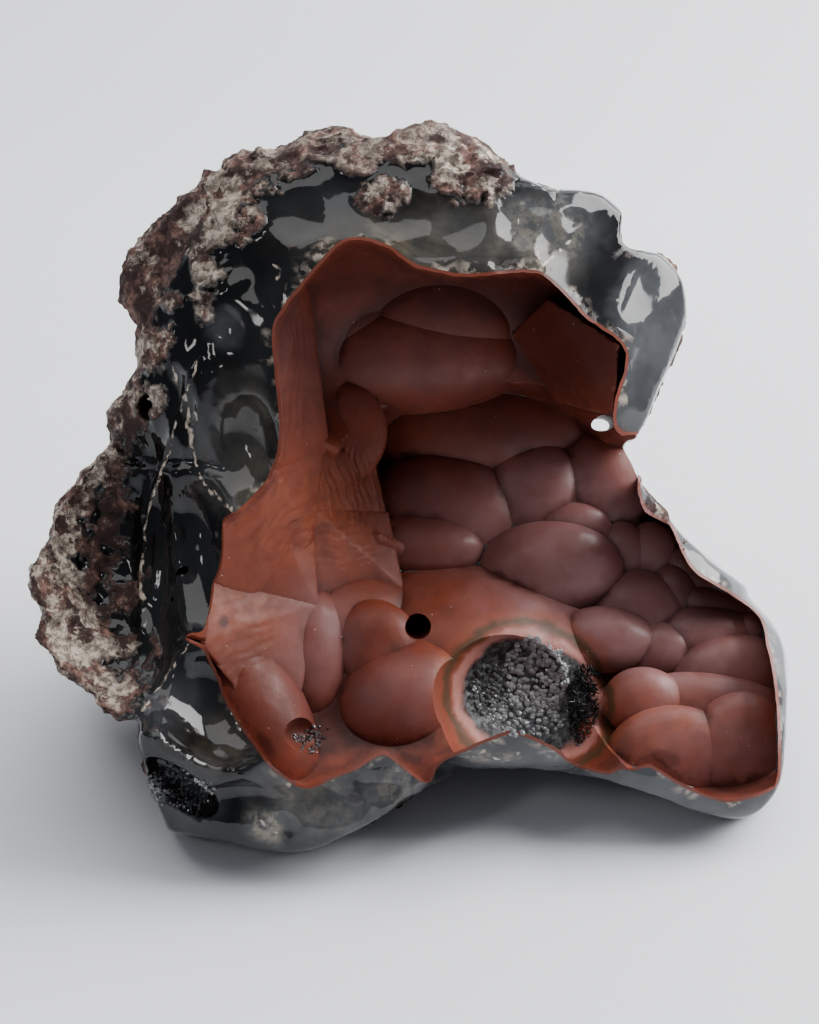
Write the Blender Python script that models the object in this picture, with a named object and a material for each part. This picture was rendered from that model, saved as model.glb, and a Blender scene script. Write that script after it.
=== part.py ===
"""A broken, hollow agate nodule at real size, in metres, +Z up, resting on the plane z = 0.

The stone is one solid. Its masses, the hollow, the domes of the lining and the breaks of the wall are
ellipsoids. The outline and the rim of the hollow are drawn as seen from the front, from above.
"""

import math
from collections import namedtuple

import bmesh
import bpy
from mathutils import Euler, Matrix, Vector, noise

# Driving dimensions
MM = 0.001
PIXEL = 0.186 * MM
VIEW_TILT = math.radians(30.0)
VIEW_DISTANCE = 400 * MM
FRAME_MIDDLE = (409.5, 512.0)
MIDDLE = Vector((0.0, 5.4, 42.0)) * MM
NEAREST, FARTHEST = -95 * MM, 110 * MM
BODY_VOXEL = 1.6 * MM
STONE_VOXEL = 0.9 * MM
TRIANGLES = 9700
FLOOR_SIZE = 300 * MM
FLOOR_DEPTH = 30 * MM

# How much longer the lining keeps its triangles than the rest of the stone
LINING_HOLD = 9e-6
LINING_WEIGHT = 0.0001
BALL_SUBDIVISIONS = 4
# How far each kind of cutter runs on towards the viewer
HOLLOW_REACH = 60 * MM
POCKET_REACH = 30 * MM
BREAK_REACH = 40 * MM
PIT_REACH = 20 * MM
# How far the hood runs on away from the viewer
HOOD_REACH = 90 * MM

RIGHT = Vector((1.0, 0.0, 0.0))
UP = Vector((0.0, math.sin(VIEW_TILT), math.cos(VIEW_TILT)))
AWAY = Vector((0.0, math.cos(VIEW_TILT), -math.sin(VIEW_TILT)))
VIEW_AXES = Matrix((RIGHT, UP, AWAY)).transposed()

# A lump's middle is a pixel seen from the front and a depth behind the stone's middle, in mm.
# Its radii, in mm, run across, up and away from the viewer, turned by roll and tip, in degrees.
Lump = namedtuple("Lump", "across down away wide tall deep roll tip", defaults=(0, 0))
# A dome is given by the depth of its top, its visible half sizes and its height over the creases.
Dome = namedtuple("Dome", "across down top wide tall rise roll", defaults=(0,))
Mass = namedtuple("Mass", "x y z wide deep tall")
DOME_SPREAD = 1.35

HOOD = {
    "crown": Mass(-3, 6.4, 62, 56, 44, 54),
    "left shoulder": Mass(-39, 14.4, 84, 20, 22, 22),
    "hanging lobe": Mass(43, 5.4, 76, 16, 22, 26),
}
# The rounded front of the hood
HOOD_FRONT = Lump(405, 345, 10, 64, 58, 49)

BASE = {
    "left foot": Mass(-28, -13.6, 28, 50, 36, 34),
    "right foot": Mass(46, -9.6, 12, 27, 32, 20),
    "right back": Mass(40, 6.4, 24, 24, 26, 18),
    "back": Mass(5, 16.4, 24, 46, 32, 28),
    "left crust": Mass(-58, -5.6, 32, 16, 24, 28),
    "front foot": Mass(-22, -29.6, 10, 30, 22, 18),
    "bridge": Mass(20, -15.6, 24, 32, 27, 17),
    "right toe": Mass(56, -25.6, 11, 16, 16, 12),
}

OUTLINE = (
    (437, 120), (400, 130), (380, 140), (340, 128), (310, 128), (300, 140), (262, 150), (230, 160),
    (200, 178), (175, 200), (152, 232), (130, 255), (123, 280), (123, 305), (135, 320), (137, 350),
    (138, 370), (112, 400), (108, 415), (115, 440), (100, 460), (80, 470), (72, 490), (55, 510),
    (50, 540), (30, 570), (33, 600), (45, 610), (37, 630), (45, 650), (75, 680), (95, 700),
    (120, 722), (140, 715), (140, 740), (150, 780), (165, 820), (175, 833), (230, 842), (290, 852),
    (330, 843), (370, 823), (400, 805), (430, 785), (460, 772), (507, 768), (540, 769), (606, 780),
    (645, 792), (682, 807), (722, 818), (750, 815), (775, 793), (784, 760), (787, 708), (785, 656),
    (771, 619), (748, 590), (706, 556), (677, 530), (664, 509), (641, 483), (633, 464), (619, 440),
    (632, 441), (646, 421), (658, 392), (672, 361), (686, 318), (683, 283), (672, 266), (660, 254),
    (640, 250), (625, 240), (622, 215), (600, 195), (565, 190), (540, 185), (500, 160), (470, 140),
    (455, 125),
)

RIM = (
    (172, 580), (195, 560), (225, 520), (240, 512), (267, 484), (282, 444), (279, 392), (276, 335),
    (282, 315), (307, 280), (333, 252), (348, 240), (376, 243), (393, 252), (414, 266), (451, 275),
    (488, 275), (537, 273), (569, 300), (589, 320), (612, 335), (626, 355), (620, 381), (614, 407),
    (612, 421), (622, 436), (655, 436), (637, 475), (645, 512), (669, 525), (676, 540), (690, 567),
    (709, 582), (740, 601), (761, 619), (766, 643), (772, 671), (776, 705), (778, 768), (771, 794),
    (756, 806), (716, 797), (677, 781),
    (651, 763), (633, 768), (606, 772), (583, 766), (559, 750), (536, 738), (507, 731), (468, 747),
    (436, 762), (428, 782), (419, 777), (400, 762), (382, 751), (356, 767), (325, 779), (301, 785),
    (262, 752), (228, 700), (205, 645), (180, 634),
)

HOLLOWS = {
    "hood": Lump(450, 365, -32, 34, 25, 36),
    "under the bulb": Lump(490, 470, -8, 28, 17, 40),
    "behind the tall dome": Lump(606, 492, 4, 9.5, 11, 16),
    "left wall": Lump(300, 560, -30, 28, 26, 30),
    "middle": Lump(500, 600, -25, 34, 22, 34),
    "front floor": Lump(350, 700, -35, 36, 20, 22),
    "left corner": Lump(235, 590, -38, 14, 12, 14),
    "right dish": Lump(700, 612, -4, 27, 36, 19, 0, 33),
}

DOMES = {
    "left bulb": Dome(346, 312, -4.6, 13, 14.5, 5.5),
    "right bulb": Dome(434, 306, -5.2, 17.5, 15, 6),
    "under bulb": Dome(404, 352, -5, 18.5, 8.8, 4),
    "upper slope": Dome(336, 434, -5, 7, 7.4, 1.3, -15),
    "back wall": Dome(480, 430, 8, 18, 10.5, 5),
    "back swell": Dome(445, 518, 5, 11.8, 10, 3.2),
    "back dome": Dome(531, 495, 7.6, 7.8, 8.8, 2.3),
    "tall dome": Dome(600, 491, 9.3, 7.8, 9, 2.4),
    "between": Dome(572, 533, 6.6, 6, 4.4, 1.2),
    "upper pair left": Dome(622, 559, 6.8, 4.2, 5.4, 1.3),
    "upper pair right": Dome(651, 559, 7.2, 4.0, 5.4, 1.3),
    "broad dome": Dome(551, 569, 0, 10.4, 6.8, 2.6),
    "middle dome": Dome(638, 617, 1.7, 7, 6.6, 1.8),
    "wedge dome": Dome(674, 597, 4.3, 3.8, 4.6, 1.2),
    "long dome": Dome(710, 586, 5.4, 7.4, 3.4, 1.3, -35),
    "rim dome": Dome(724, 613, 3.0, 6.6, 3.2, 1.2, -22),
    "right dome": Dome(709, 642, -0.4, 8.4, 5.2, 1.7),
    "rim button": Dome(748, 632, 1, 2.4, 2.8, 0.9),
    "last dome": Dome(732, 677, -3.6, 8.6, 6.2, 1.7),
    "small dome": Dome(661, 651, -0.9, 5.2, 4.2, 1.4),
    "front dome": Dome(603, 640, -3.1, 7.2, 4.7, 1.7),
    "band": Dome(713, 712, -7.6, 13, 5.2, 1.3, -8),
    "orange bump": Dome(643, 702, -9.4, 5.6, 4.8, 1.5),
    "left sheet": Dome(674, 760, -13.6, 9.4, 7.4, 1.4),
    "right sheet": Dome(743, 761, -13.8, 8, 9.4, 1.5),
    "valley": Dome(420, 550, 1.5, 9, 5, 2),
    "mound": Dome(440, 660, -12, 27, 16, 10.5),
    "crisp dome": Dome(402, 700, -19, 10.2, 9, 4.2, 20),
    "second bump": Dome(372, 648, -14.6, 6.4, 6.6, 1.6),
    "left floor": Dome(318, 640, -14, 16, 13, 6),
    "mauve bump": Dome(307, 655, -16.8, 6.6, 10.5, 3),
    "front lip": Dome(246, 704, -26, 7.5, 16, 3.5, 28),
}

# Broken faces of the left inner wall, each by its corners
FACETS = {
    "left flank": ((270, 316, -28), (304, 268, -24), (312, 304, -18), (330, 452, -9), (272, 472, -25)),
    "right panel": ((512, 334, -6), (548, 298, -17), (620, 345, -27), (614, 416, -25), (556, 402, -4)),
    "fluted panel": ((320, 450, -11), (371, 450, 1), (387, 517, 3), (313, 511, -14)),
    "pink panel": ((311, 506, -14), (388, 512, 3), (404, 588, -2), (300, 608, -14)),
    "left flutes": ((220, 508, -27), (270, 462, -25), (324, 448, -11), (313, 542, -15),
                    (250, 604, -21), (182, 564, -29)),
    "wedge": ((313, 506, -14), (318, 606, -14), (248, 606, -21), (285, 538, -19)),
    "floor facet": ((190, 570, -27), (252, 598, -21), (318, 604, -14), (300, 700, -18),
                    (235, 690, -26), (198, 640, -30)),
    "nose": ((168, 578, -31), (200, 566, -27), (210, 592, -30), (206, 642, -31), (180, 636, -31)),
}
FACET_DEPTH = 22

POCKETS = {
    "druse pocket": Lump(533, 703, -21, 18.2, 15.8, 18, -20),
    "window": Lump(598, 426, 20, 2.2, 1.4, 60),
    "round hole": Lump(418, 626, -8, 2.4, 2.3, 6),
    "small cavity": Lump(318, 738, -24, 6, 3.8, 7, -15),
}

PITS = {
    "crust pit": Lump(150, 405, -16, 1.8, 3, 5),
    "druse slot": Lump(182, 783, -29.5, 7.5, 3.2, 3.8, -42),
}

BREAKS = {
    "smoky scoop": Lump(234, 449, -42, 9, 12, 15, 8),
    "flow face": Lump(80, 530, -60, 20, 40, 44, 10),
    "ridge face": Lump(170, 540, -56, 12, 26, 34, 10),
    "lower left scoop": Lump(205, 705, -48, 11, 15, 19, 30),
}

# The rough crust
CRUST_FACING = 0.3
CRUST_DEPTHS = (-20, -8)
CRUST_CENTRE = (400, 400)
CRUST_RING = (245, 275)
CRUST_TOP = 460
CRUST_RIGHT = 560
CRUST_LEFT = (105, 150)
FOOT_X = (18, 30)
FOOT_Z = (52, 38)
CRUST_LUMP = 11 * MM
CRUST_GRAIN = 6 * MM
CRUST_RELIEF = 1.7 * MM
CRUST_SINK = 0.25
GRAIN_SHARE = 0.35
# Each noise's roughness, step between octaves and octaves, and the grain's offset and gain
BROAD_NOISE = (0.8, 2.1, 4)
GRAIN_NOISE = (0.9, 2.2, 3, 0.9, 1.8)
GRAIN_MEAN = 1.2

STONE_COLOUR = (0.12, 0.05, 0.04, 1.0)
STONE_ROUGHNESS = 0.35


def seen(across, down, away):
    """The place seen at a pixel, at a depth behind the stone's middle."""
    spread = PIXEL * (1 + away / VIEW_DISTANCE)
    right = (across - FRAME_MIDDLE[0]) * spread
    up = (FRAME_MIDDLE[1] - down) * spread
    return MIDDLE + RIGHT * right + UP * up + AWAY * away


def clear_scene():
    for obj in list(bpy.data.objects):
        bpy.data.objects.remove(obj)


def new_object(name, bm):
    bm.normal_update()
    bmesh.ops.recalc_face_normals(bm, faces=bm.faces)
    mesh = bpy.data.meshes.new(name)
    bm.to_mesh(mesh)
    bm.free()
    obj = bpy.data.objects.new(name, mesh)
    bpy.context.scene.collection.objects.link(obj)
    return obj


def evaluated(obj):
    """The object's mesh with its modifiers applied."""
    bpy.context.view_layer.update()
    graph = bpy.context.evaluated_depsgraph_get()
    mesh = bpy.data.meshes.new_from_object(obj.evaluated_get(graph))
    obj.modifiers.clear()
    old = obj.data
    obj.data = mesh
    bpy.data.meshes.remove(old)


def add_ellipsoid(bm, place, axes, radii, reach=0.0):
    """An ellipsoid, drawn out towards the viewer by reach."""
    matrix = Matrix.Translation(place) @ axes.to_4x4() @ Matrix.Diagonal(Vector(radii)).to_4x4()
    ball = bmesh.ops.create_icosphere(bm, subdivisions=BALL_SUBDIVISIONS, radius=1.0, matrix=matrix)
    if reach:
        copy = bmesh.ops.duplicate(bm, geom=ball["verts"])
        near = [item for item in copy["geom"] if isinstance(item, bmesh.types.BMVert)]
        bmesh.ops.translate(bm, verts=near, vec=-AWAY * reach)
        hull = bmesh.ops.convex_hull(bm, input=ball["verts"] + near)
        inside = {item for item in hull["geom_interior"] if isinstance(item, bmesh.types.BMVert)}
        bmesh.ops.delete(bm, geom=list(inside), context="VERTS")


def lump_axes(lump):
    turn = Euler((math.radians(lump.tip), 0.0, math.radians(lump.roll)), "XYZ").to_matrix()
    return VIEW_AXES @ turn


def lump_of(dome):
    """The ellipsoid whose cap is the dome."""
    fall = 1 - math.sqrt(1 - 1 / DOME_SPREAD**2)
    deep = dome.rise / fall
    wide, tall = dome.wide * DOME_SPREAD, dome.tall * DOME_SPREAD
    return Lump(dome.across, dome.down, dome.top + deep, wide, tall, deep, dome.roll)


def add_facet(bm, corners):
    points = []
    for across, down, away in corners:
        points.append(bm.verts.new(seen(across, down, away * MM)))
        points.append(bm.verts.new(seen(across, down, (away + FACET_DEPTH) * MM)))
    hull = bmesh.ops.convex_hull(bm, input=points)
    inside = [item for item in hull["geom_interior"] if isinstance(item, bmesh.types.BMVert)]
    bmesh.ops.delete(bm, geom=inside, context="VERTS")


def join_facets(name):
    bm = bmesh.new()
    for corners in FACETS.values():
        one = bmesh.new()
        add_facet(one, corners)
        mesh = bpy.data.meshes.new("one facet")
        one.to_mesh(mesh)
        one.free()
        bm.from_mesh(mesh)
        bpy.data.meshes.remove(mesh)
    obj = new_object(name, bm)
    remesh(obj, STONE_VOXEL)
    return obj


def join_lumps(name, lumps, voxel, reach=0.0):
    bm = bmesh.new()
    for lump in lumps:
        radii = Vector((lump.wide, lump.tall, lump.deep)) * MM
        one = bmesh.new()
        add_ellipsoid(one, seen(lump.across, lump.down, lump.away * MM), lump_axes(lump), radii, reach)
        mesh = bpy.data.meshes.new("one lump")
        one.to_mesh(mesh)
        one.free()
        bm.from_mesh(mesh)
        bpy.data.meshes.remove(mesh)
    obj = new_object(name, bm)
    remesh(obj, voxel)
    return obj


def join_masses(name, masses, voxel):
    bm = bmesh.new()
    for mass in masses.values():
        radii = Vector((mass.wide, mass.deep, mass.tall)) * MM
        add_ellipsoid(bm, Vector((mass.x, mass.y, mass.z)) * MM, Matrix.Identity(3), radii)
    obj = new_object(name, bm)
    remesh(obj, voxel)
    return obj


def sight_prism(name, outline):
    """The space seen inside an outline, from the nearest depth to the farthest."""
    bm = bmesh.new()
    rings = []
    for depth in (NEAREST, FARTHEST):
        rings.append([bm.verts.new(seen(across, down, depth)) for across, down in outline])
    near, far = rings
    bm.faces.new(near)
    bm.faces.new(reversed(far))
    for i in range(len(outline)):
        k = (i + 1) % len(outline)
        bm.faces.new((near[i], far[i], far[k], near[k]))
    return new_object(name, bm)


def remesh(obj, voxel):
    modifier = obj.modifiers.new("Remesh", "REMESH")
    modifier.mode = "VOXEL"
    modifier.voxel_size = voxel
    evaluated(obj)


def combine(obj, tool, operation, solver="EXACT"):
    modifier = obj.modifiers.new(operation, "BOOLEAN")
    modifier.operation = operation
    modifier.solver = solver
    modifier.object = tool
    evaluated(obj)
    bpy.data.objects.remove(tool)


def make_floor():
    """The block under the plane the stone rests on."""
    bm = bmesh.new()
    size = Matrix.Diagonal((FLOOR_SIZE, FLOOR_SIZE, FLOOR_DEPTH, 1.0))
    bmesh.ops.create_cube(bm, size=1.0, matrix=Matrix.Translation((0, 0, -FLOOR_DEPTH / 2)) @ size)
    return new_object("floor", bm)


def make_body():
    body = join_masses("agate", HOOD, BODY_VOXEL)
    combine(body, join_lumps("front", [HOOD_FRONT], BODY_VOXEL, reach=-HOOD_REACH), "INTERSECT")
    combine(body, join_masses("base", BASE, BODY_VOXEL), "UNION")
    combine(body, sight_prism("outline", OUTLINE), "INTERSECT")
    return body


def make_hollow():
    """The space inside the lining, as seen through the rim."""
    hollow = join_lumps("hollow", HOLLOWS.values(), BODY_VOXEL, reach=HOLLOW_REACH)
    domes = join_lumps("domes", [lump_of(dome) for dome in DOMES.values()], STONE_VOXEL)
    combine(domes, join_facets("facets"), "UNION")
    combine(hollow, domes, "DIFFERENCE")
    combine(hollow, join_lumps("pockets", POCKETS.values(), STONE_VOXEL, reach=POCKET_REACH), "UNION")
    remesh(hollow, STONE_VOXEL)
    combine(hollow, sight_prism("rim", RIM), "INTERSECT")
    return hollow


def between(low, high, value):
    """A smooth step from 0 at low to 1 at high."""
    share = min(max((value - low) / (high - low), 0.0), 1.0)
    return share * share * (3 - 2 * share)


def pixel_of(place):
    """The pixel where a place is seen, and its depth."""
    offset = place - MIDDLE
    away = offset.dot(AWAY)
    spread = PIXEL * (1 + away / VIEW_DISTANCE)
    return FRAME_MIDDLE[0] + offset.x / spread, FRAME_MIDDLE[1] - offset.dot(UP) / spread, away


def inside(outline, across, down):
    """Whether a pixel lies inside an outline."""
    crossings = 0
    for (x0, y0), (x1, y1) in zip(outline, outline[1:] + outline[:1]):
        if (y0 > down) != (y1 > down) and across < x0 + (down - y0) * (x1 - x0) / (y1 - y0):
            crossings += 1
    return crossings % 2 == 1


def crust_share(place, normal):
    """How much of the rough crust is at a place: the back, the top and the left edge, not the right foot."""
    across, down, away = pixel_of(place)
    if normal.dot(AWAY) < CRUST_FACING and inside(RIM, across, down):
        return 0.0
    behind = between(*CRUST_DEPTHS, away / MM)
    ring = math.hypot(across - CRUST_CENTRE[0], down - CRUST_CENTRE[1])
    top = between(*CRUST_RING, ring) * (down < CRUST_TOP) * (across < CRUST_RIGHT)
    left = between(CRUST_LEFT[1], CRUST_LEFT[0], across) * (down > CRUST_CENTRE[1])
    foot = between(*FOOT_X, place.x / MM) * between(*FOOT_Z, place.z / MM)
    return max(behind, top, left) * (1 - foot)


def roughen(obj):
    """Raises the rough crust."""
    mesh = obj.data
    mesh.update()
    moves = []
    for vert in mesh.vertices:
        moves.append(vert.normal * crust_share(vert.co, vert.normal) * crust_height(vert.co))
    for vert, move in zip(mesh.vertices, moves):
        vert.co += move


def crust_height(place):
    broad = noise.fractal(place / CRUST_LUMP, *BROAD_NOISE)
    sharp = noise.ridged_multi_fractal(place / CRUST_GRAIN, *GRAIN_NOISE)
    return CRUST_RELIEF * (broad + GRAIN_SHARE * (sharp - GRAIN_MEAN) - CRUST_SINK)


def thin_out(obj):
    """Lowers the triangle count, more outside the lining than on it."""
    group = obj.vertex_groups.new(name="outside")
    for vert in obj.data.vertices:
        across, down, away = pixel_of(vert.co)
        lining = vert.normal.dot(AWAY) < CRUST_FACING and inside(RIM, across, down)
        group.add([vert.index], LINING_WEIGHT if lining else 1.0, "REPLACE")
    modifier = obj.modifiers.new("Decimate", "DECIMATE")
    quads = len(obj.data.polygons)
    modifier.ratio = TRIANGLES / (2 * quads)
    modifier.vertex_group = group.name
    modifier.vertex_group_factor = LINING_HOLD
    evaluated(obj)
    obj.vertex_groups.clear()


def keep_largest(obj):
    """Drops the crumbs that the cuts leave loose."""
    bm = bmesh.new()
    bm.from_mesh(obj.data)
    left = set(bm.verts)
    largest = set()
    while left:
        island = set()
        edge = [left.pop()]
        while edge:
            vert = edge.pop()
            island.add(vert)
            near = {link.other_vert(vert) for link in vert.link_edges} & left
            left -= near
            edge.extend(near)
        if len(island) > len(largest):
            largest = island
    bmesh.ops.delete(bm, geom=[vert for vert in bm.verts if vert not in largest], context="VERTS")
    bm.to_mesh(obj.data)
    bm.free()


def make_stone():
    stone = make_body()
    combine(stone, join_lumps("breaks", BREAKS.values(), BODY_VOXEL, reach=BREAK_REACH), "DIFFERENCE")
    combine(stone, make_hollow(), "DIFFERENCE", "MANIFOLD")
    combine(stone, join_lumps("pits", PITS.values(), STONE_VOXEL, reach=PIT_REACH), "DIFFERENCE")
    remesh(stone, STONE_VOXEL)
    keep_largest(stone)
    roughen(stone)
    thin_out(stone)
    combine(stone, make_floor(), "DIFFERENCE")
    keep_largest(stone)
    return stone


def main():
    clear_scene()
    stone = make_stone()
    material = bpy.data.materials.new("chalcedony")
    material.use_nodes = True
    shader = material.node_tree.nodes["Principled BSDF"]
    shader.inputs["Base Color"].default_value = STONE_COLOUR
    shader.inputs["Roughness"].default_value = STONE_ROUGHNESS
    stone.data.materials.append(material)


if __name__ == "__main__":
    main()
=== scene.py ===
"""The looks of a broken, hollow agate nodule: its glassy wall, red lining, rough rind and crystals.

The shapes repeat those of the solid, at a finer scale. A place is given by where it is seen from the
front, as a pixel of a frame 819 wide and 1024 high, and by its depth behind the stone's middle.
"""

import math
import random
from collections import namedtuple

import bpy
import numpy as np
from mathutils import Euler, Matrix, Vector, noise


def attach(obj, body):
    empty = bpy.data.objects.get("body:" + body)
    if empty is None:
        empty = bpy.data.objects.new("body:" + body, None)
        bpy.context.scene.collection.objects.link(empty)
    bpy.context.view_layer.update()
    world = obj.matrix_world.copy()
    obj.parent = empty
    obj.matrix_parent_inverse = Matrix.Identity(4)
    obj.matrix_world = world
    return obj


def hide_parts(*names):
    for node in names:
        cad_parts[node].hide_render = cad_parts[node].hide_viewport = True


bl_info = {
    "name": "Broken Agate Nodule",
    "version": (1, 0, 0),
    "blender": (4, 5, 0),
    "location": "3D View > Sidebar > Agate",
    "description": "Builds a hollow agate nodule with its lining, rind and crystals, and a small studio",
    "category": "Add Mesh",
}

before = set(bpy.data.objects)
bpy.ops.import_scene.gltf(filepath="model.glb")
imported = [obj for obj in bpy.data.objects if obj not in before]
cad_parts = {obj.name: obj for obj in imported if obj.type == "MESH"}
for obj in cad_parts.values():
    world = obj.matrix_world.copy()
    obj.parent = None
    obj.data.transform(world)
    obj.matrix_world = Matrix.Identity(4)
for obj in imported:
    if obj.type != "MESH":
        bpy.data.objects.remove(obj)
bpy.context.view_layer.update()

MM = 0.001
PIXEL = 0.186 * MM
VIEW_TILT = math.radians(30.0)
VIEW_DISTANCE = 400 * MM
FRAME_SIZE = (819, 1024)
FRAME_MIDDLE = (409.5, 512.0)
MIDDLE = Vector((0.0, 5.4, 42.0)) * MM
NEAREST, FARTHEST = -95 * MM, 110 * MM

RIGHT = Vector((1.0, 0.0, 0.0))
UP = Vector((0.0, math.sin(VIEW_TILT), math.cos(VIEW_TILT)))
AWAY = Vector((0.0, math.cos(VIEW_TILT), -math.sin(VIEW_TILT)))
VIEW_AXES = Matrix((RIGHT, UP, AWAY)).transposed()
EYE = MIDDLE - AWAY * VIEW_DISTANCE

# A lump's middle is a pixel and a depth in mm. Its radii, in mm, run across, up and away from the
# viewer, turned by roll and tip, in degrees.
Lump = namedtuple("Lump", "across down away wide tall deep roll tip", defaults=(0, 0))
# A dome is given by the depth of its top, its visible half sizes and its height over the creases.
Dome = namedtuple("Dome", "across down top wide tall rise roll", defaults=(0,))
Mass = namedtuple("Mass", "x y z wide deep tall")
DOME_SPREAD = 1.35

HOLLOW_REACH = 60 * MM
POCKET_REACH = 30 * MM
BREAK_REACH = 40 * MM
PIT_REACH = 20 * MM
HOOD_REACH = 90 * MM

HOOD = {
    "crown": Mass(-3, 6.4, 62, 56, 44, 54),
    "left shoulder": Mass(-39, 14.4, 84, 20, 22, 22),
    "hanging lobe": Mass(43, 5.4, 76, 16, 22, 26),
}
HOOD_FRONT = Lump(405, 345, 10, 64, 58, 49)

BASE = {
    "left foot": Mass(-28, -13.6, 28, 50, 36, 34),
    "right foot": Mass(46, -9.6, 12, 27, 32, 20),
    "right back": Mass(40, 6.4, 24, 24, 26, 18),
    "back": Mass(5, 16.4, 24, 46, 32, 28),
    "left crust": Mass(-58, -5.6, 32, 16, 24, 28),
    "front foot": Mass(-22, -29.6, 10, 30, 22, 18),
    "bridge": Mass(20, -15.6, 24, 32, 27, 17),
    "right toe": Mass(56, -25.6, 11, 16, 16, 12),
}

OUTLINE = (
    (437, 120), (400, 130), (380, 140), (340, 128), (310, 128), (300, 140), (262, 150), (230, 160),
    (200, 178), (175, 200), (152, 232), (130, 255), (123, 280), (123, 305), (135, 320), (137, 350),
    (138, 370), (112, 400), (108, 415), (115, 440), (100, 460), (80, 470), (72, 490), (55, 510),
    (50, 540), (30, 570), (33, 600), (45, 610), (37, 630), (45, 650), (75, 680), (95, 700),
    (120, 722), (140, 715), (140, 740), (150, 780), (165, 820), (175, 833), (230, 842), (290, 852),
    (330, 843), (370, 823), (400, 805), (430, 785), (460, 772), (507, 768), (540, 769), (606, 780),
    (645, 792), (682, 807), (722, 818), (750, 815), (775, 793), (784, 760), (787, 708), (785, 656),
    (771, 619), (748, 590), (706, 556), (677, 530), (664, 509), (641, 483), (633, 464), (619, 440),
    (632, 441), (646, 421), (658, 392), (672, 361), (686, 318), (683, 283), (672, 266), (660, 254),
    (640, 250), (625, 240), (622, 215), (600, 195), (565, 190), (540, 185), (500, 160), (470, 140),
    (455, 125),
)

RIM = (
    (172, 580), (195, 560), (225, 520), (240, 512), (267, 484), (282, 444), (279, 392), (276, 335),
    (282, 315), (307, 280), (333, 252), (348, 240), (376, 243), (393, 252), (414, 266), (451, 275),
    (488, 275), (537, 273), (569, 300), (589, 320), (612, 335), (626, 355), (620, 381), (614, 407),
    (612, 421), (622, 436), (655, 436), (637, 475), (645, 512), (669, 525), (676, 540), (690, 567),
    (709, 582), (740, 601), (761, 619), (766, 643), (772, 671), (776, 705), (778, 768), (771, 794),
    (756, 806), (716, 797), (677, 781),
    (651, 763), (633, 768), (606, 772), (583, 766), (559, 750), (536, 738), (507, 731), (468, 747),
    (436, 762), (428, 782), (419, 777), (400, 762), (382, 751), (356, 767), (325, 779), (301, 785),
    (262, 752), (228, 700), (205, 645), (180, 634),
)

HOLLOWS = {
    "hood": Lump(450, 365, -32, 34, 25, 36),
    "under the bulb": Lump(490, 470, -8, 28, 17, 40),
    "behind the tall dome": Lump(606, 492, 4, 9.5, 11, 16),
    "left wall": Lump(300, 560, -30, 28, 26, 30),
    "middle": Lump(500, 600, -25, 34, 22, 34),
    "front floor": Lump(350, 700, -35, 36, 20, 22),
    "left corner": Lump(235, 590, -38, 14, 12, 14),
    "right dish": Lump(700, 612, -4, 27, 36, 19, 0, 33),
}

DOMES = {
    "left bulb": Dome(346, 312, -4.6, 13, 14.5, 5.5),
    "right bulb": Dome(434, 306, -5.2, 17.5, 15, 6),
    "under bulb": Dome(404, 352, -5, 18.5, 8.8, 4),
    "upper slope": Dome(336, 434, -5, 7, 7.4, 1.3, -15),
    "back wall": Dome(480, 430, 8, 18, 10.5, 5),
    "back swell": Dome(445, 518, 5, 11.8, 10, 3.2),
    "back dome": Dome(531, 495, 7.6, 7.8, 8.8, 2.3),
    "tall dome": Dome(600, 491, 9.3, 7.8, 9, 2.4),
    "between": Dome(572, 533, 6.6, 6, 4.4, 1.2),
    "upper pair left": Dome(622, 559, 6.8, 4.2, 5.4, 1.3),
    "upper pair right": Dome(651, 559, 7.2, 4.0, 5.4, 1.3),
    "broad dome": Dome(551, 569, 0, 10.4, 6.8, 2.6),
    "middle dome": Dome(638, 617, 1.7, 7, 6.6, 1.8),
    "wedge dome": Dome(674, 597, 4.3, 3.8, 4.6, 1.2),
    "long dome": Dome(710, 586, 5.4, 7.4, 3.4, 1.3, -35),
    "rim dome": Dome(724, 613, 3.0, 6.6, 3.2, 1.2, -22),
    "right dome": Dome(709, 642, -0.4, 8.4, 5.2, 1.7),
    "rim button": Dome(748, 632, 1, 2.4, 2.8, 0.9),
    "last dome": Dome(732, 677, -3.6, 8.6, 6.2, 1.7),
    "small dome": Dome(661, 651, -0.9, 5.2, 4.2, 1.4),
    "front dome": Dome(603, 640, -3.1, 7.2, 4.7, 1.7),
    "band": Dome(713, 712, -7.6, 13, 5.2, 1.3, -8),
    "orange bump": Dome(643, 702, -9.4, 5.6, 4.8, 1.5),
    "left sheet": Dome(674, 760, -13.6, 9.4, 7.4, 1.4),
    "right sheet": Dome(743, 761, -13.8, 8, 9.4, 1.5),
    "valley": Dome(420, 550, 1.5, 9, 5, 2),
    "mound": Dome(440, 660, -12, 27, 16, 10.5),
    "crisp dome": Dome(402, 700, -19, 10.2, 9, 4.2, 20),
    "second bump": Dome(372, 648, -14.6, 6.4, 6.6, 1.6),
    "left floor": Dome(318, 640, -14, 16, 13, 6),
    "mauve bump": Dome(307, 655, -16.8, 6.6, 10.5, 3),
    "front lip": Dome(246, 704, -26, 7.5, 16, 3.5, 28),
}

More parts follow.
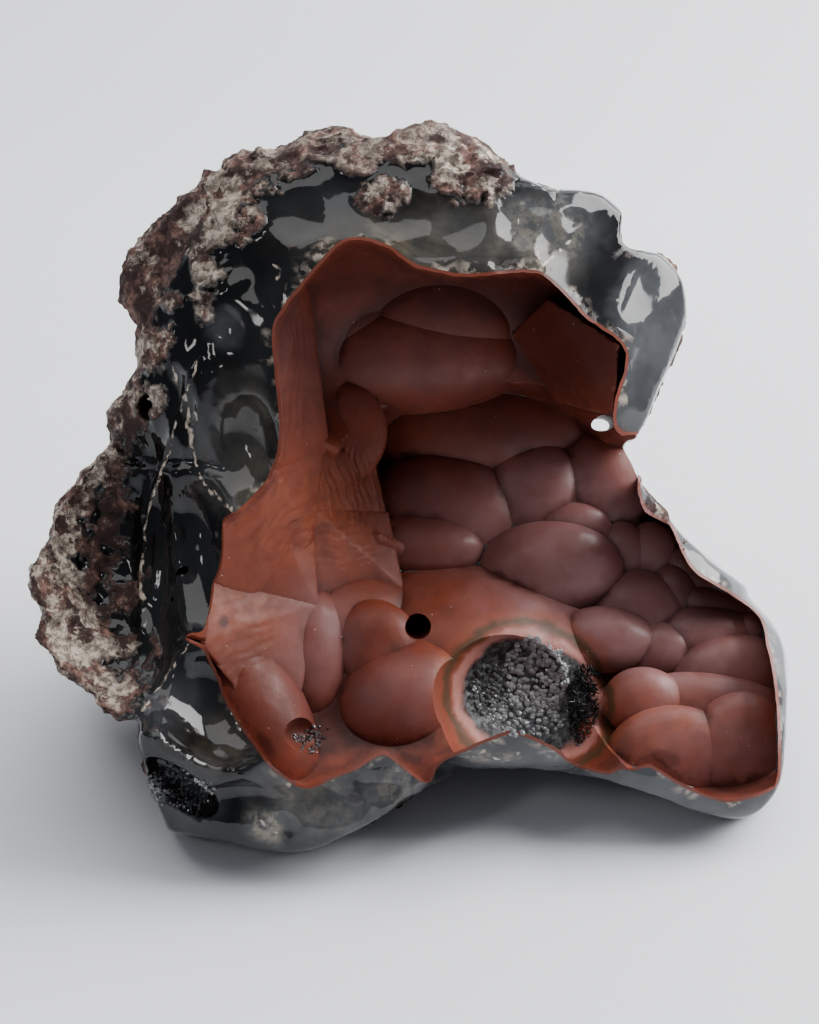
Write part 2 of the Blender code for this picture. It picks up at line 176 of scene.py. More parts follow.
# Broken faces of the left inner wall, each by its corners
FACETS = {
    "left flank": ((270, 316, -28), (304, 268, -24), (312, 304, -18), (330, 452, -9), (272, 472, -25)),
    "right panel": ((512, 334, -6), (548, 298, -17), (620, 345, -27), (614, 416, -25), (556, 402, -4)),
    "fluted panel": ((320, 450, -11), (371, 450, 1), (387, 517, 3), (313, 511, -14)),
    "pink panel": ((311, 506, -14), (388, 512, 3), (404, 588, -2), (300, 608, -14)),
    "left flutes": ((220, 508, -27), (270, 462, -25), (324, 448, -11), (313, 542, -15),
                    (250, 604, -21), (182, 564, -29)),
    "wedge": ((313, 506, -14), (318, 606, -14), (248, 606, -21), (285, 538, -19)),
    "floor facet": ((190, 570, -27), (252, 598, -21), (318, 604, -14), (300, 700, -18),
                    (235, 690, -26), (198, 640, -30)),
    "nose": ((168, 578, -31), (200, 566, -27), (210, 592, -30), (206, 642, -31), (180, 636, -31)),
}
FACET_DEPTH = 22

POCKETS = {
    "druse pocket": Lump(533, 703, -21, 18.2, 15.8, 18, -20),
    "window": Lump(598, 426, 20, 2.2, 1.4, 60),
    "round hole": Lump(418, 626, -8, 2.4, 2.3, 6),
    "small cavity": Lump(318, 738, -24, 6, 3.8, 7, -15),
}

PITS = {
    "crust pit": Lump(150, 405, -16, 1.8, 3, 5),
    "druse slot": Lump(182, 783, -29.5, 7.5, 3.2, 3.8, -42),
}

BREAKS = {
    "smoky scoop": Lump(234, 449, -42, 9, 12, 15, 8),
    "flow face": Lump(80, 530, -60, 20, 40, 44, 10),
    "ridge face": Lump(170, 540, -56, 12, 26, 34, 10),
    "lower left scoop": Lump(205, 705, -48, 11, 15, 19, 30),
}

# A mark's middle and half sizes are in pixels, its roll in degrees, and its height is in mm or a share.
Mark = namedtuple("Mark", "across down wide tall height roll", defaults=(0,))

# Shallow scoops broken out of the glassy wall
CHIPS = (
    Mark(592, 268, 44, 62, 2.0, -28), Mark(520, 225, 24, 28, 0.9), Mark(553, 240, 19, 26, 0.8),
    Mark(575, 222, 17, 15, 0.7), Mark(503, 255, 16, 20, 0.8), Mark(533, 204, 24, 13, 0.6),
    Mark(560, 262, 14, 12, 0.6), Mark(498, 262, 11, 9, 0.8), Mark(640, 290, 20, 34, 0.8, -20),
    Mark(652, 355, 20, 60, 0.5, -15), Mark(300, 215, 42, 28, 1.2, 20), Mark(345, 205, 38, 32, 1.0),
    Mark(402, 216, 44, 24, 1.0), Mark(455, 225, 32, 28, 0.9), Mark(432, 250, 30, 14, 0.6),
    Mark(255, 262, 32, 46, 1.3, 10), Mark(228, 327, 18, 26, 1.0, 20), Mark(150, 300, 24, 44, 0.9, 10),
    Mark(165, 245, 26, 24, 0.8), Mark(250, 395, 24, 34, 0.8), Mark(205, 345, 20, 34, 0.9),
    Mark(182, 405, 16, 44, 1.1, 14), Mark(158, 485, 14, 60, 1.0, 8), Mark(134, 560, 14, 64, 0.9),
    Mark(196, 520, 22, 34, 1.0, 20), Mark(120, 640, 22, 28, 1.0), Mark(165, 690, 24, 34, 1.0),
    Mark(250, 742, 28, 22, 0.9), Mark(215, 765, 30, 15, 0.7), Mark(240, 802, 44, 20, 0.9),
    Mark(322, 800, 50, 28, 1.1, -15), Mark(388, 788, 30, 20, 0.8, -20), Mark(284, 826, 20, 16, 0.8),
    Mark(270, 300, 12, 26, 0.5, 20), Mark(232, 430, 24, 30, 0.7), Mark(218, 490, 20, 26, 0.6),
)

# Rough pale crust left on the front
PATCHES = (
    Mark(222, 210, 30, 34, 1.0), Mark(205, 262, 14, 50, 1.0, -8), Mark(232, 190, 40, 14, 1.0),
    Mark(168, 302, 12, 9, 0.9), Mark(142, 252, 12, 26, 1.0), Mark(150, 352, 22, 26, 1.0, -30),
    Mark(126, 402, 20, 34, 1.0, -20), Mark(152, 398, 14, 22, 0.8), Mark(66, 500, 30, 50, 1.0, -10),
    Mark(52, 580, 28, 50, 1.0), Mark(96, 448, 26, 20, 1.0), Mark(300, 150, 62, 22, 0.5, 8),
    Mark(350, 156, 50, 16, 0.45), Mark(405, 148, 60, 22, 0.5), Mark(384, 196, 24, 17, 0.9),
    Mark(470, 168, 40, 26, 1.0, -30), Mark(455, 190, 30, 14, 0.8, -20), Mark(505, 186, 20, 10, 0.8, -25),
    Mark(75, 640, 34, 34, 1.0), Mark(110, 690, 30, 24, 0.9), Mark(126, 650, 14, 8, 0.8),
)

# Where the wall is grey, and where it is olive brown. The first grey mark, on the hanging lobe, is partly
# the wall's own grey and partly painted reflection of the light at the right.
GREYS_AND_REFLECTION = (
    Mark(652, 340, 42, 110, 1.0, -12), Mark(545, 232, 56, 40, 0.8), Mark(592, 268, 46, 62, 0.12, -28),
    Mark(318, 803, 60, 38, 0.8, -15), Mark(232, 455, 36, 62, 0.5), Mark(228, 327, 18, 20, 0.7),
    Mark(160, 700, 40, 40, 0.3), Mark(450, 240, 70, 30, 0.55), Mark(267, 826, 20, 18, 1.3),
    Mark(400, 790, 50, 26, 0.5), Mark(180, 800, 40, 40, 0.35), Mark(320, 210, 60, 26, 0.25),
)
BROWNS = (
    Mark(440, 238, 90, 34, 0.9), Mark(540, 262, 40, 16, 0.6), Mark(240, 440, 26, 60, 0.8),
    Mark(330, 235, 60, 22, 0.4), Mark(300, 800, 50, 26, 0.35), Mark(215, 745, 34, 26, 0.4),
)
MILKS = (
    Mark(545, 230, 42, 30, 0.4), Mark(318, 806, 50, 28, 0.15, -15), Mark(267, 826, 16, 16, 1.0),
    Mark(495, 757, 26, 5, 0.7), Mark(400, 785, 26, 16, 0.25),
)
# Fine white lines through pixels, with their width in mm: white breaks and cracks, and, along the left
# face's ridges (the fourth and the seventh line), painted highlights
CRACKS_AND_HIGHLIGHTS = (
    (((535, 272), (552, 258), (572, 240), (592, 224)), 0.5),
    (((537, 222), (534, 240), (539, 258), (536, 270)), 0.35),
    (((515, 205), (522, 228), (517, 248), (524, 266)), 0.25),
    (((198, 359), (182, 405), (169, 451), (156, 486), (144, 518), (142, 580), (143, 630)), 0.45),
    (((172, 357), (178, 388), (196, 412), (199, 429)), 0.4),
    (((187, 406), (192, 440), (206, 491), (236, 514)), 0.5),
    (((192, 640), (178, 660), (165, 680), (141, 712)), 0.45),
    (((270, 268), (284, 266), (276, 282)), 0.6),
    (((470, 757), (490, 750), (505, 760), (520, 752)), 0.6),
    (((250, 805), (262, 822), (285, 838)), 0.6),
)

# Sharp ridges of the glassy wall: height in mm and half width in pixels
RIDGES = (
    (((198, 359), (182, 405), (169, 451), (156, 486), (144, 518), (142, 580), (143, 630)), 1.3, 7),
    (((214, 372), (197, 416), (186, 455), (172, 496), (160, 530), (155, 600)), 0.7, 5),
    (((192, 640), (178, 660), (165, 680), (141, 712)), 1.2, 7),
    (((112, 440), (110, 500), (108, 560), (112, 640)), 0.9, 6),
    (((122, 285), (128, 315), (140, 345)), 0.8, 8),
    (((240, 280), (214, 300), (205, 340), (212, 372)), 0.6, 6),
    (((150, 735), (190, 758), (240, 772), (290, 795)), 0.8, 7),
)

# Fluted and streaked faces of the lining: spacing in mm, and the direction the flutes run, in degrees
Flutes = namedtuple("Flutes", "across down wide tall height spacing direction")
FLUTES = (
    Flutes(354, 487, 34, 40, 0.13, 1.5, 100), Flutes(278, 510, 52, 48, 0.07, 2.1, 52),
    Flutes(345, 545, 44, 28, 0.05, 1.7, 15), Flutes(232, 640, 46, 50, 0.03, 2.3, 30),
    Flutes(296, 380, 18, 70, 0.03, 1.3, 85),
)

# Where the lining is mauve, orange or dark. The mauve is partly its own tint and partly painted sheen; the
# dark marks are mostly painted shade, with a few real dark spots.
MAUVES_AND_SHEEN = (
    Mark(640, 590, 150, 110, 1.0, -20), Mark(560, 520, 110, 70, 0.9), Mark(450, 520, 70, 60, 0.45),
    Mark(318, 640, 34, 70, 0.5), Mark(400, 350, 100, 60, 0.25), Mark(395, 700, 50, 46, 0.35),
    Mark(700, 755, 74, 40, 0.55),
)
ORANGES = (
    Mark(310, 515, 90, 60, 0.8), Mark(230, 620, 60, 60, 0.5), Mark(660, 720, 60, 40, 0.9, -20),
    Mark(560, 640, 80, 24, 0.5, -30), Mark(460, 600, 120, 26, 0.35, -20),
    Mark(420, 440, 70, 30, 0.3),
)
# Mostly painted shade under the hood, on the inner walls and in deep gaps; the marks at (224, 622) and
# (207, 612) are real dark spots.
DARKS_AND_SHADE = (
    Mark(500, 290, 110, 30, 0.8), Mark(565, 345, 60, 60, 0.7), Mark(520, 410, 60, 40, 0.5),
    Mark(715, 590, 46, 30, 0.7, -35), Mark(350, 270, 80, 26, 0.5), Mark(245, 700, 44, 70, 0.5, 20),
    Mark(224, 622, 5, 6, 1.2), Mark(207, 612, 3, 3, 1.2), Mark(600, 745, 30, 30, 0.6),
)

# Crystals: middle and half sizes in pixels, number, width and length in mm, brightness, redness and tilt
Druse = namedtuple("Druse", "across down wide tall count width length tone red tilt")
DRUSES = {
    "pale facets": Druse(536, 674, 32, 38, 420, 1.1, 0.4, 0.85, 0.0, 15),
    "grey corner": Druse(490, 690, 18, 28, 160, 0.9, 0.5, 0.35, 0.0, 30),
    "lower facets": Druse(526, 716, 44, 20, 260, 1.0, 0.4, 0.6, 0.0, 20),
    "black needles": Druse(586, 706, 18, 44, 700, 0.3, 1.6, 0.05, 0.0, 50),
    "maroon sparkle": Druse(592, 734, 14, 16, 160, 0.6, 0.6, 0.25, 0.9, 40),
    "cavity": Druse(318, 740, 26, 14, 120, 0.6, 0.6, 0.3, 0.1, 40),
    "slot": Druse(182, 783, 34, 26, 380, 0.6, 0.8, 0.55, 0.0, 45),
    "slot's edge": Druse(192, 792, 16, 20, 120, 0.5, 0.8, 0.9, 0.0, 45),
    "pink patch": Druse(681, 550, 8, 15, 90, 0.45, 0.35, 0.7, 0.8, 40),
}

# Noise that moves the surface or the marks' edges: size of the lumps in mm, octaves and roughness
Noise = namedtuple("Noise", "size octaves roughness", defaults=(0.8,))
CRUST_LUMPS = Noise(11, 4)
CRUST_FINE = Noise(2.2, 4, 0.5)
PATCH_LUMPS = Noise(1.8, 4, 0.5)
PATCH_EDGE, PATCH_RAGGED = Noise(4.5, 4, 0.6), 0.75
WALL_WAVES = Noise(13, 2)
WALL_CLOUDS, WALL_RAGGED = Noise(5, 4, 0.6), 0.8
LINING_WAVES = Noise(6, 3)
LINING_CLOUDS, LINING_RAGGED = Noise(7, 4, 0.6), 0.5
FLUTE_DRIFT, FLUTE_DRIFT_SHARE = Noise(9, 2), 1.3
LACUNARITY = 2.1

# Heights of the slow waves, the patches and the druse, and the grid that rounds the lining's outside
WALL_WAVE = 0.35 * MM
LINING_WAVE = 0.10 * MM
PATCH_HEIGHT, PATCH_BASE = 0.9 * MM, 0.8
DRUSE_RELIEF, DRUSE_GRAIN = 0.35 * MM, 2.4 * MM
GROWN_VOXEL = 0.8 * MM
BIG_DOME = 18 * MM
TRIANGLES = 185000
FLOOR_SIZE = 300 * MM
FLOOR_DEPTH = 30 * MM

# The soft edges of the crust's patches, wide for the search and narrow for the patch
PATCH_SEARCH, PATCH_SOFT = 0.6, 0.12
# A flute's second wave: its share, and how many times it is narrower
FLUTE_OVERTONE = (0.5, 2.3)
FLUTE_WINDOW = (1.15, 0.75)
LINING_FACING = -0.2

# The pocket is behind the first depth, and crystals grow behind the second
POCKET_DEPTH = -22
DRUSE_DEPTH = -36
# Right of this column only the pocket itself carries crystals
SHEETS_FROM = 560
# The left crust is broken by black glass left of this column and below this row
LEFT_CRUST = (160, 430)

# Ranges over which a zone of the wall fades in. Distances from the rim are in mm.
CRUST_KEEP = (0.25, 0.6)
LEFT_KEEP = (0.45, 0.60)
POLISHED_ACROSS, POLISHED_DOWN = (425, 480), (445, 500)
RIM_GREY, RIM_GREY_SHARE = (9.0, 3.0), 0.12
RIM_BROWN, RIM_BROWN_SHARE = (7.0, 1.0), 0.65
CONVEX_PALE = (0.20, 0.40)
NO_CRACK_OR_HIGHLIGHT = 9.0

# Ranges of the lining's painted shade in its fine and broad creases and the share of that shade, its edge,
# and the bands round the druse by their radius in the pocket
FINE_CREASE, BROAD_CREASE, CREASE_SHARE = (0.008, 0.05), (0.004, 0.03), 0.45
EDGE_LINE, EDGE_SHARE = (0.7, 0.2), 0.8
LIP_BAND, LIP_SHARE = (1.05, 0.90), 0.5
OLIVE_BAND, OLIVE_SHARE = ((0.90, 0.86), (0.78, 0.82)), 0.8
PINK_BAND, PINK_SHARE = ((0.78, 0.74), (0.60, 0.68)), 0.75
DRUSE_BAND = (0.70, 0.62)
DRUSE_GRAIN_BAND = (0.74, 0.6)
DRUSE_EDGE = 0.72

# Noise in a colour: size in mm, detail and roughness, the range that is stretched, and what it becomes
Speckle = namedtuple("Speckle", "size detail roughness low high start end", defaults=(0.0, 1.0))
GREY_CLOUDS = Speckle(9, 3.0, 0.6, 0.3, 0.62, 0.55)
BROWN_CLOUDS = Speckle(5, 3.0, 0.6, 0.35, 0.6, 0.4)
MILK_CRACKLE = Speckle(2.2, 5.0, 0.7, 0.42, 0.62)
CRACK_AND_HIGHLIGHT_GAPS = Speckle(1.8, 4.0, 0.6, 0.42, 0.58, 0.0, 0.8)
RIND_SPOTS = Speckle(5, 5.0, 0.7, 0.46, 0.60)
RIND_ISLANDS = Speckle(4.5, 5.0, 0.7, 0.46, 0.53)
RIND_FLECKS = Speckle(8, 6.0, 0.75, 0.57, 0.64)
RIND_DIRT = Speckle(1.6, 6.0, 0.75, 0.44, 0.60, 0.75, 0.0)
DARK_CLOUDS = Speckle(8, 4.0, 0.6, 0.35, 0.65, 0.0, 0.45)
ORANGE_CLOUDS = Speckle(3.5, 5.0, 0.6, 0.36, 0.6, 0.3)
MAUVE_CLOUDS = Speckle(6, 3.0, 0.6, 0.35, 0.6, 0.7)
DRUSE_CLOUDS = Speckle(1.2, 5.0, 0.7, 0.40, 0.62)
DUST_CLOUDS = Speckle(9, 4.0, 0.6, 0.45, 0.6, 0.0, 0.7)
LINING_WEAR = Speckle(4, 5.0, 0.6, 0.35, 0.65, 0.42, 0.56)

# The wall's bands along the rim, its white cracks and painted highlight lines in half widths, the share of
# its paler convex edges, its hollows in mm, and its roughness
BAND_RATE, BAND_RANGE = 4.2, (0.6, 1.0, 0.0, 0.3)
CRACK_AND_HIGHLIGHT_RANGE, CONVEX_PALE_SHARE = (0.75, 0.35), 0.7
HOLLOW_RANGE = (0.04, 0.18, 0.0, 0.8)
CRUST_ROUGHNESS = (0.1, 0.8, 0.07, 0.8)
MILK_ROUGHNESS, BROWN_ROUGHNESS, CRACK_AND_HIGHLIGHT_ROUGHNESS = 0.45, 0.14, 0.3
MAUVE_GLOSS = (0.0, 1.0, 0.0, 0.08)
WALL_SPECULAR, LINING_SPECULAR = 0.36, 0.32
SHEEN, SHEEN_ROUGHNESS = 0.05, 0.5
CRYSTAL_ROUGHNESS = 0.16
DUST_SIZE, DUST_RADIUS = 2.6 * MM, 0.055
# Fine bumps: size, detail and roughness of the noise, and height
CRUST_BUMP = (0.9 * MM, 6.0, 0.75), 0.5 * MM
LINING_BUMP = (0.7 * MM, 4.0, 0.6), 0.03 * MM

# The edges' sharpness, in degrees, below which a piece is shaded smooth
WALL_ANGLE, LINING_ANGLE, DRUSE_ANGLE = 40.0, 14.0, 15.0

# A crystal's six-sided stem, its tip, and the roof that the tip narrows to
CRYSTAL_SIDES = 6
CRYSTAL_STEM, CRYSTAL_TIP = 0.55, 0.45
CRYSTAL_ROOF, CRYSTAL_ROOF_PLACE = (0.12, 0.2, 1.0), (0.06, 0.0, 1.0)
CRYSTAL_SPREAD, CRYSTAL_SCALES, CRYSTAL_ROOT = 0.7, (0.6, 1.25), 0.3
CRYSTAL_FLATNESS, CRYSTAL_TONES = (0.7, 1.0), (0.5, 1.3)
CRYSTAL_SEED = 7

# The studio: a floor that curves up into a backdrop, three lights and a dim room
STAGE_SIZE, STAGE_DROP, STAGE_HEIGHT = 3.0, 0.0002, 1.5
BACKDROP_AWAY, COVE_RADIUS, COVE_STEPS = 0.55, 0.3, 16
PAPER_COLOUR, PAPER_ROUGHNESS = (0.80, 0.81, 0.84, 1.0), 0.6
ROOM_COLOUR, ROOM_STRENGTH = (0.74, 0.80, 0.90, 1.0), 0.22
STAGE_TARGET = (0, 0, 0.04)
SENSOR_WIDTH = 36.0
LIGHTS = {
    "window at the right": ((0.80, 0.25, 0.60), (0.9, 0.7), 30.0, STAGE_TARGET),
    "wide light above": ((-0.1, 0.2, 1.3), (1.6, 1.2), 16.0, STAGE_TARGET),
    "small window at the left": ((-0.6, -0.5, 0.55), (0.10, 0.16), 0.6, (-0.04, 0, 0.07)),
}

# The drawn outlines are split into steps of a few pixels, bent and made ragged
WANDER_STEP = 5.0
CURVE_PULL = 0.25
ROUGH_DOWN = 790
# How far the outline and the rim wander: where smooth and where ragged, in pixels, and the column between
OUTLINE_WANDER = (0.4, 3.2, 520)
RIM_WANDER = (1.0, 1.8, 640)
WANDER_FINE, WANDER_BROAD, WANDER_FINE_SHARE = 7.0, 19.0, 0.6

# The rough crust: the same places, lumps and relief as on the solid
CRUST_FACING = 0.3
CRUST_DEPTHS = (-20, -8)
CRUST_CENTRE = (400, 400)
CRUST_RING = (245, 275)
CRUST_TOP = 460
CRUST_RIGHT = 560
CRUST_LEFT = (105, 150)
FOOT_X = (18, 30)
FOOT_Z = (52, 38)
CRUST_GRAIN = 6 * MM
CRUST_RELIEF = 1.7 * MM
CRUST_SINK = 0.25
GRAIN_SHARE = 0.35
# Roughness, step between octaves, octaves, offset and gain
GRAIN_NOISE = (0.9, 2.2, 3, 0.9, 1.8)
GRAIN_MEAN = 1.2


def seen(across, down, away):
    """The place seen at a pixel, at a depth behind the stone's middle."""
    spread = PIXEL * (1 + away / VIEW_DISTANCE)
    right = (across - FRAME_MIDDLE[0]) * spread
    up = (FRAME_MIDDLE[1] - down) * spread
    return MIDDLE + RIGHT * right + UP * up + AWAY * away


class AgateSizes(bpy.types.PropertyGroup):
    """Sizes of the stone's surfaces."""

    body_detail: bpy.props.FloatProperty(
        name="Wall detail", description="Grid size of the wall and rind", default=0.8 * MM, unit="LENGTH"
    )
    lining_detail: bpy.props.FloatProperty(
        name="Lining detail", description="Grid size of the lining", default=0.5 * MM, unit="LENGTH"
    )
    lining_thickness: bpy.props.FloatProperty(
        name="Lining thickness", description="Thickness of the red lining", default=0.55 * MM, unit="LENGTH"
    )
    crust_relief: bpy.props.FloatProperty(
        name="Crust relief", description="Height of the rind's fine lumps", default=0.5 * MM, unit="LENGTH"
    )
    crystal_scale: bpy.props.FloatProperty(
        name="Crystal scale", description="Scale of the druse crystals", default=1.0, min=0.5, max=2.0
    )


def colour_property(name, description, default):
    return bpy.props.FloatVectorProperty(
        name=name, description=description, default=default, size=4, min=0.0, max=1.0, subtype="COLOR"
    )


class AgateColours(bpy.types.PropertyGroup):
    """Colours of the stone's zones."""

    lining: colour_property("Lining", "Red-brown of the lining", (0.17, 0.033, 0.016, 1.0))
    # Dark red of the lining's random clouds, and of its painted shade in creases and under the hood.
    lining_dark_and_shade: colour_property("Lining, dark", "Dark red of its creases", (0.045, 0.008, 0.005, 1.0))
    # Mauve of the right domes, partly their own tint and partly painted sheen.
    lining_mauve_and_sheen: colour_property("Lining, mauve", "Mauve of the right domes", (0.23, 0.110, 0.108, 1.0))
    lining_orange: colour_property("Lining, orange", "Orange of broken panels", (0.25, 0.056, 0.022, 1.0))
    wall_black: colour_property("Wall, black", "Near black chalcedony", (0.003, 0.003, 0.0035, 1.0))
    # Blue-grey chalcedony; on the hanging lobe it is partly painted reflection.
    wall_grey: colour_property("Wall, grey", "Blue-grey chalcedony", (0.075, 0.078, 0.083, 1.0))
    wall_brown: colour_property("Wall, brown", "Olive brown by the lining", (0.10, 0.085, 0.060, 1.0))
    wall_milk: colour_property("Wall, milky", "White of the crackled wall", (0.22, 0.195, 0.155, 1.0))
    lip_olive: colour_property("Lip, olive", "Dark line round the druse", (0.05, 0.035, 0.015, 1.0))
    lip_pink: colour_property("Lip, pink", "Pink bands round the druse", (0.45, 0.20, 0.17, 1.0))
    crystal_pale: colour_property("Crystal, pale", "Pale grey of the crystals", (0.34, 0.34, 0.35, 1.0))
    rind_pale: colour_property("Rind, pale", "Cream of the rind", (0.64, 0.54, 0.44, 1.0))
    rind_pink: colour_property("Rind, pink", "Pinkish beige of the rind", (0.26, 0.14, 0.11, 1.0))
    rind_dark: colour_property("Rind, dark", "Maroon brown of the rind", (0.035, 0.015, 0.013, 1.0))


def sizes():
    return bpy.context.scene.agate_sizes


def colours():
    return bpy.context.scene.agate_colours


def deselect_all():
    for obj in list(bpy.context.selected_objects):
        obj.select_set(False)


def activate(obj):
    deselect_all()
    obj.select_set(True)
    bpy.context.view_layer.objects.active = obj


def apply_modifier(obj, kind, **settings):
    """Adds one modifier and applies it at once."""
    activate(obj)
    modifier = obj.modifiers.new(kind.title(), kind)
    for name, value in settings.items():
        setattr(modifier, name, value)
    bpy.ops.object.modifier_apply(modifier=modifier.name)


def combine(obj, tool, operation):
    apply_modifier(obj, "BOOLEAN", operation=operation, object=tool, solver="MANIFOLD")
    bpy.data.objects.remove(tool)


def remesh(obj, voxel):
    apply_modifier(obj, "REMESH", mode="VOXEL", voxel_size=voxel)


def relax(obj, factor, rounds):
    apply_modifier(obj, "SMOOTH", factor=factor, iterations=rounds)


def join(objects, name):
    deselect_all()
    for obj in objects:
        obj.select_set(True)
    bpy.context.view_layer.objects.active = objects[0]
    if len(objects) > 1:
        bpy.ops.object.join()
    joined = bpy.context.view_layer.objects.active
    joined.name = name
    joined.data.name = name
    return joined


def start_edit(obj, mode="VERT"):
    activate(obj)
    bpy.ops.object.mode_set(mode="EDIT")
    bpy.ops.mesh.select_mode(type=mode)
    bpy.ops.mesh.select_all(action="DESELECT")
    bpy.ops.object.mode_set(mode="OBJECT")


def finish_edit():
    bpy.ops.object.mode_set(mode="OBJECT")


def add_ellipsoid(place, axes, radii, reach=0.0, subdivisions=5):
    """An ellipsoid, its near side drawn out towards the viewer by reach."""
    deselect_all()
    bpy.ops.mesh.primitive_ico_sphere_add(subdivisions=subdivisions, radius=1.0)
    obj = bpy.context.object
    obj.matrix_world = Matrix.Translation(place) @ axes.to_4x4() @ Matrix.Diagonal(Vector(radii)).to_4x4()
    bpy.ops.object.transform_apply(location=True, rotation=True, scale=True)
    bpy.ops.object.mode_set(mode="EDIT")
    bpy.ops.mesh.select_all(action="SELECT")
    bpy.ops.mesh.normals_make_consistent(inside=False)
    finish_edit()
    if reach:
        start_edit(obj, "FACE")
        for face in obj.data.polygons:
            face.select = face.normal.dot(AWAY) * reach < 0
        bpy.ops.object.mode_set(mode="EDIT")
        bpy.ops.mesh.extrude_region_move(TRANSFORM_OT_translate={"value": tuple(-AWAY * reach)})
        finish_edit()
    return obj


def lump_axes(lump):
    turn = Euler((math.radians(lump.tip), 0.0, math.radians(lump.roll)), "XYZ").to_matrix()
    return VIEW_AXES @ turn


def lump_of(dome):
    """The ellipsoid whose cap is the dome."""
    fall = 1 - math.sqrt(1 - 1 / DOME_SPREAD**2)
    deep = dome.rise / fall
    wide, tall = dome.wide * DOME_SPREAD, dome.tall * DOME_SPREAD
    return Lump(dome.across, dome.down, dome.top + deep, wide, tall, deep, dome.roll)


def join_lumps(name, lumps, voxel, reach=0.0):
    parts = []
    for lump in lumps:
        radii = Vector((lump.wide, lump.tall, lump.deep)) * MM
        place = seen(lump.across, lump.down, lump.away * MM)
        parts.append(add_ellipsoid(place, lump_axes(lump), radii, reach))
    obj = join(parts, name)
    remesh(obj, voxel)
    return obj


def merge(objects, name):
    """One solid of several, its creases kept sharp."""
    while len(objects) > 1:
        pairs = zip(objects[::2], objects[1::2])
        odd = objects[len(objects) // 2 * 2:]
        for obj, tool in pairs:
            combine(obj, tool, "UNION")
        objects = objects[:len(objects) // 2 * 2:2] + odd
    objects[0].name = name
    return objects[0]


def add_dome(dome):
    lump = lump_of(dome)
    radii = Vector((lump.wide, lump.tall, lump.deep)) * MM
    detail = 7 if max(radii) > BIG_DOME else 6
    return add_ellipsoid(seen(lump.across, lump.down, lump.away * MM), lump_axes(lump), radii, 0.0, detail)


def join_masses(name, masses, voxel):
    parts = []
    for mass in masses.values():
        radii = Vector((mass.wide, mass.deep, mass.tall)) * MM
        place = Vector((mass.x, mass.y, mass.z)) * MM
        parts.append(add_ellipsoid(place, Matrix.Identity(3), radii))
    obj = join(parts, name)
    remesh(obj, voxel)
    return obj


def add_ring(places):
    """A filled ring of vertices at the places."""
    deselect_all()
    bpy.ops.mesh.primitive_circle_add(vertices=len(places), radius=1.0, fill_type="NGON")
    obj = bpy.context.object
    for vert, place in zip(obj.data.vertices, places):
        vert.co = place
    return obj


def sight_prism(name, outline):
    """The space seen inside an outline, from the nearest depth to the farthest."""
    obj = add_ring([seen(across, down, NEAREST) for across, down in outline])
    growth = (VIEW_DISTANCE + FARTHEST) / (VIEW_DISTANCE + NEAREST)
    start_edit(obj)
    bpy.ops.object.mode_set(mode="EDIT")
    bpy.ops.mesh.select_all(action="SELECT")
    bpy.ops.mesh.extrude_region()
    bpy.ops.transform.resize(value=(growth, growth, growth), center_override=tuple(EYE))
    bpy.ops.mesh.select_all(action="SELECT")
    bpy.ops.mesh.quads_convert_to_tris(quad_method="BEAUTY", ngon_method="BEAUTY")
    bpy.ops.mesh.normals_make_consistent(inside=False)
    finish_edit()
    obj.name = name
    return obj


def wander(outline, low, high, smooth_from):
    """A curve through the outline's points, ragged at the left and smooth from a pixel column on."""
    result = []
    count = len(outline)
    for i in range(count):
        before, start, end, after = (Vector(outline[(i + k) % count]) for k in (-1, 0, 1, 2))
        steps = max(1, round((end - start).length / WANDER_STEP))
        for k in range(steps):
            share = k / steps
            curve = start.lerp(end, share)
            pull = (start - before) - (after - end)
            curve = curve + pull * CURVE_PULL * share * (1 - share)
            ragged = low if curve.x > smooth_from or curve.y > ROUGH_DOWN else high
            place = Vector((curve.x, curve.y, 0.0))
            drift = noise.noise_vector(place / WANDER_FINE) * WANDER_FINE_SHARE
            drift += noise.noise_vector(place / WANDER_BROAD)
            result.append((curve.x + drift.x * ragged, curve.y + drift.y * ragged))
    return tuple(result)


def add_facet(corners):
    """The block behind a broken face."""
    near = [seen(across, down, away * MM) for across, down, away in corners]
    far = [seen(across, down, (away + FACET_DEPTH) * MM) for across, down, away in corners]
    obj = add_ring(near + far)
    start_edit(obj)
    bpy.ops.object.mode_set(mode="EDIT")
    bpy.ops.mesh.select_all(action="SELECT")
    bpy.ops.mesh.convex_hull()
    finish_edit()
    return obj


def places_of(obj):
    flat = np.empty(len(obj.data.vertices) * 3)
    obj.data.vertices.foreach_get("co", flat)
    return flat.reshape(-1, 3)


def normals_of(obj):
    flat = np.empty(len(obj.data.vertices) * 3)
    obj.data.vertex_normals.foreach_get("vector", flat)
    return flat.reshape(-1, 3)


def set_places(obj, places):
    obj.data.vertices.foreach_set("co", places.ravel())
    obj.data.update()


def paint(obj, name, values):
    """Stores one number for each vertex."""
    layer = obj.data.attributes.get(name) or obj.data.attributes.new(name, "FLOAT", "POINT")
    layer.data.foreach_set("value", np.asarray(values, dtype=np.float32))


def step(low, high, values):
    """A smooth step from 0 at low to 1 at high."""
    share = np.clip((values - low) / (high - low), 0.0, 1.0)
    return share * share * (3 - 2 * share)


def pixels_of(places):
    """Where places are seen, and their depth in mm."""
    offset = places - np.array(MIDDLE)
    away = offset @ np.array(AWAY)
    spread = PIXEL * (1 + away / VIEW_DISTANCE)
    across = FRAME_MIDDLE[0] + offset[:, 0] / spread
    down = FRAME_MIDDLE[1] - (offset @ np.array(UP)) / spread
    return across, down, away / MM


def inside(outline, across, down):
    """Which pixels lie inside an outline."""
    result = np.zeros(len(across), dtype=bool)
    for (x0, y0), (x1, y1) in zip(outline, outline[1:] + outline[:1]):
        if y0 != y1:
            crosses = (y0 > down) != (y1 > down)
            result ^= crosses & (across < x0 + (down - y0) * (x1 - x0) / (y1 - y0))
    return result


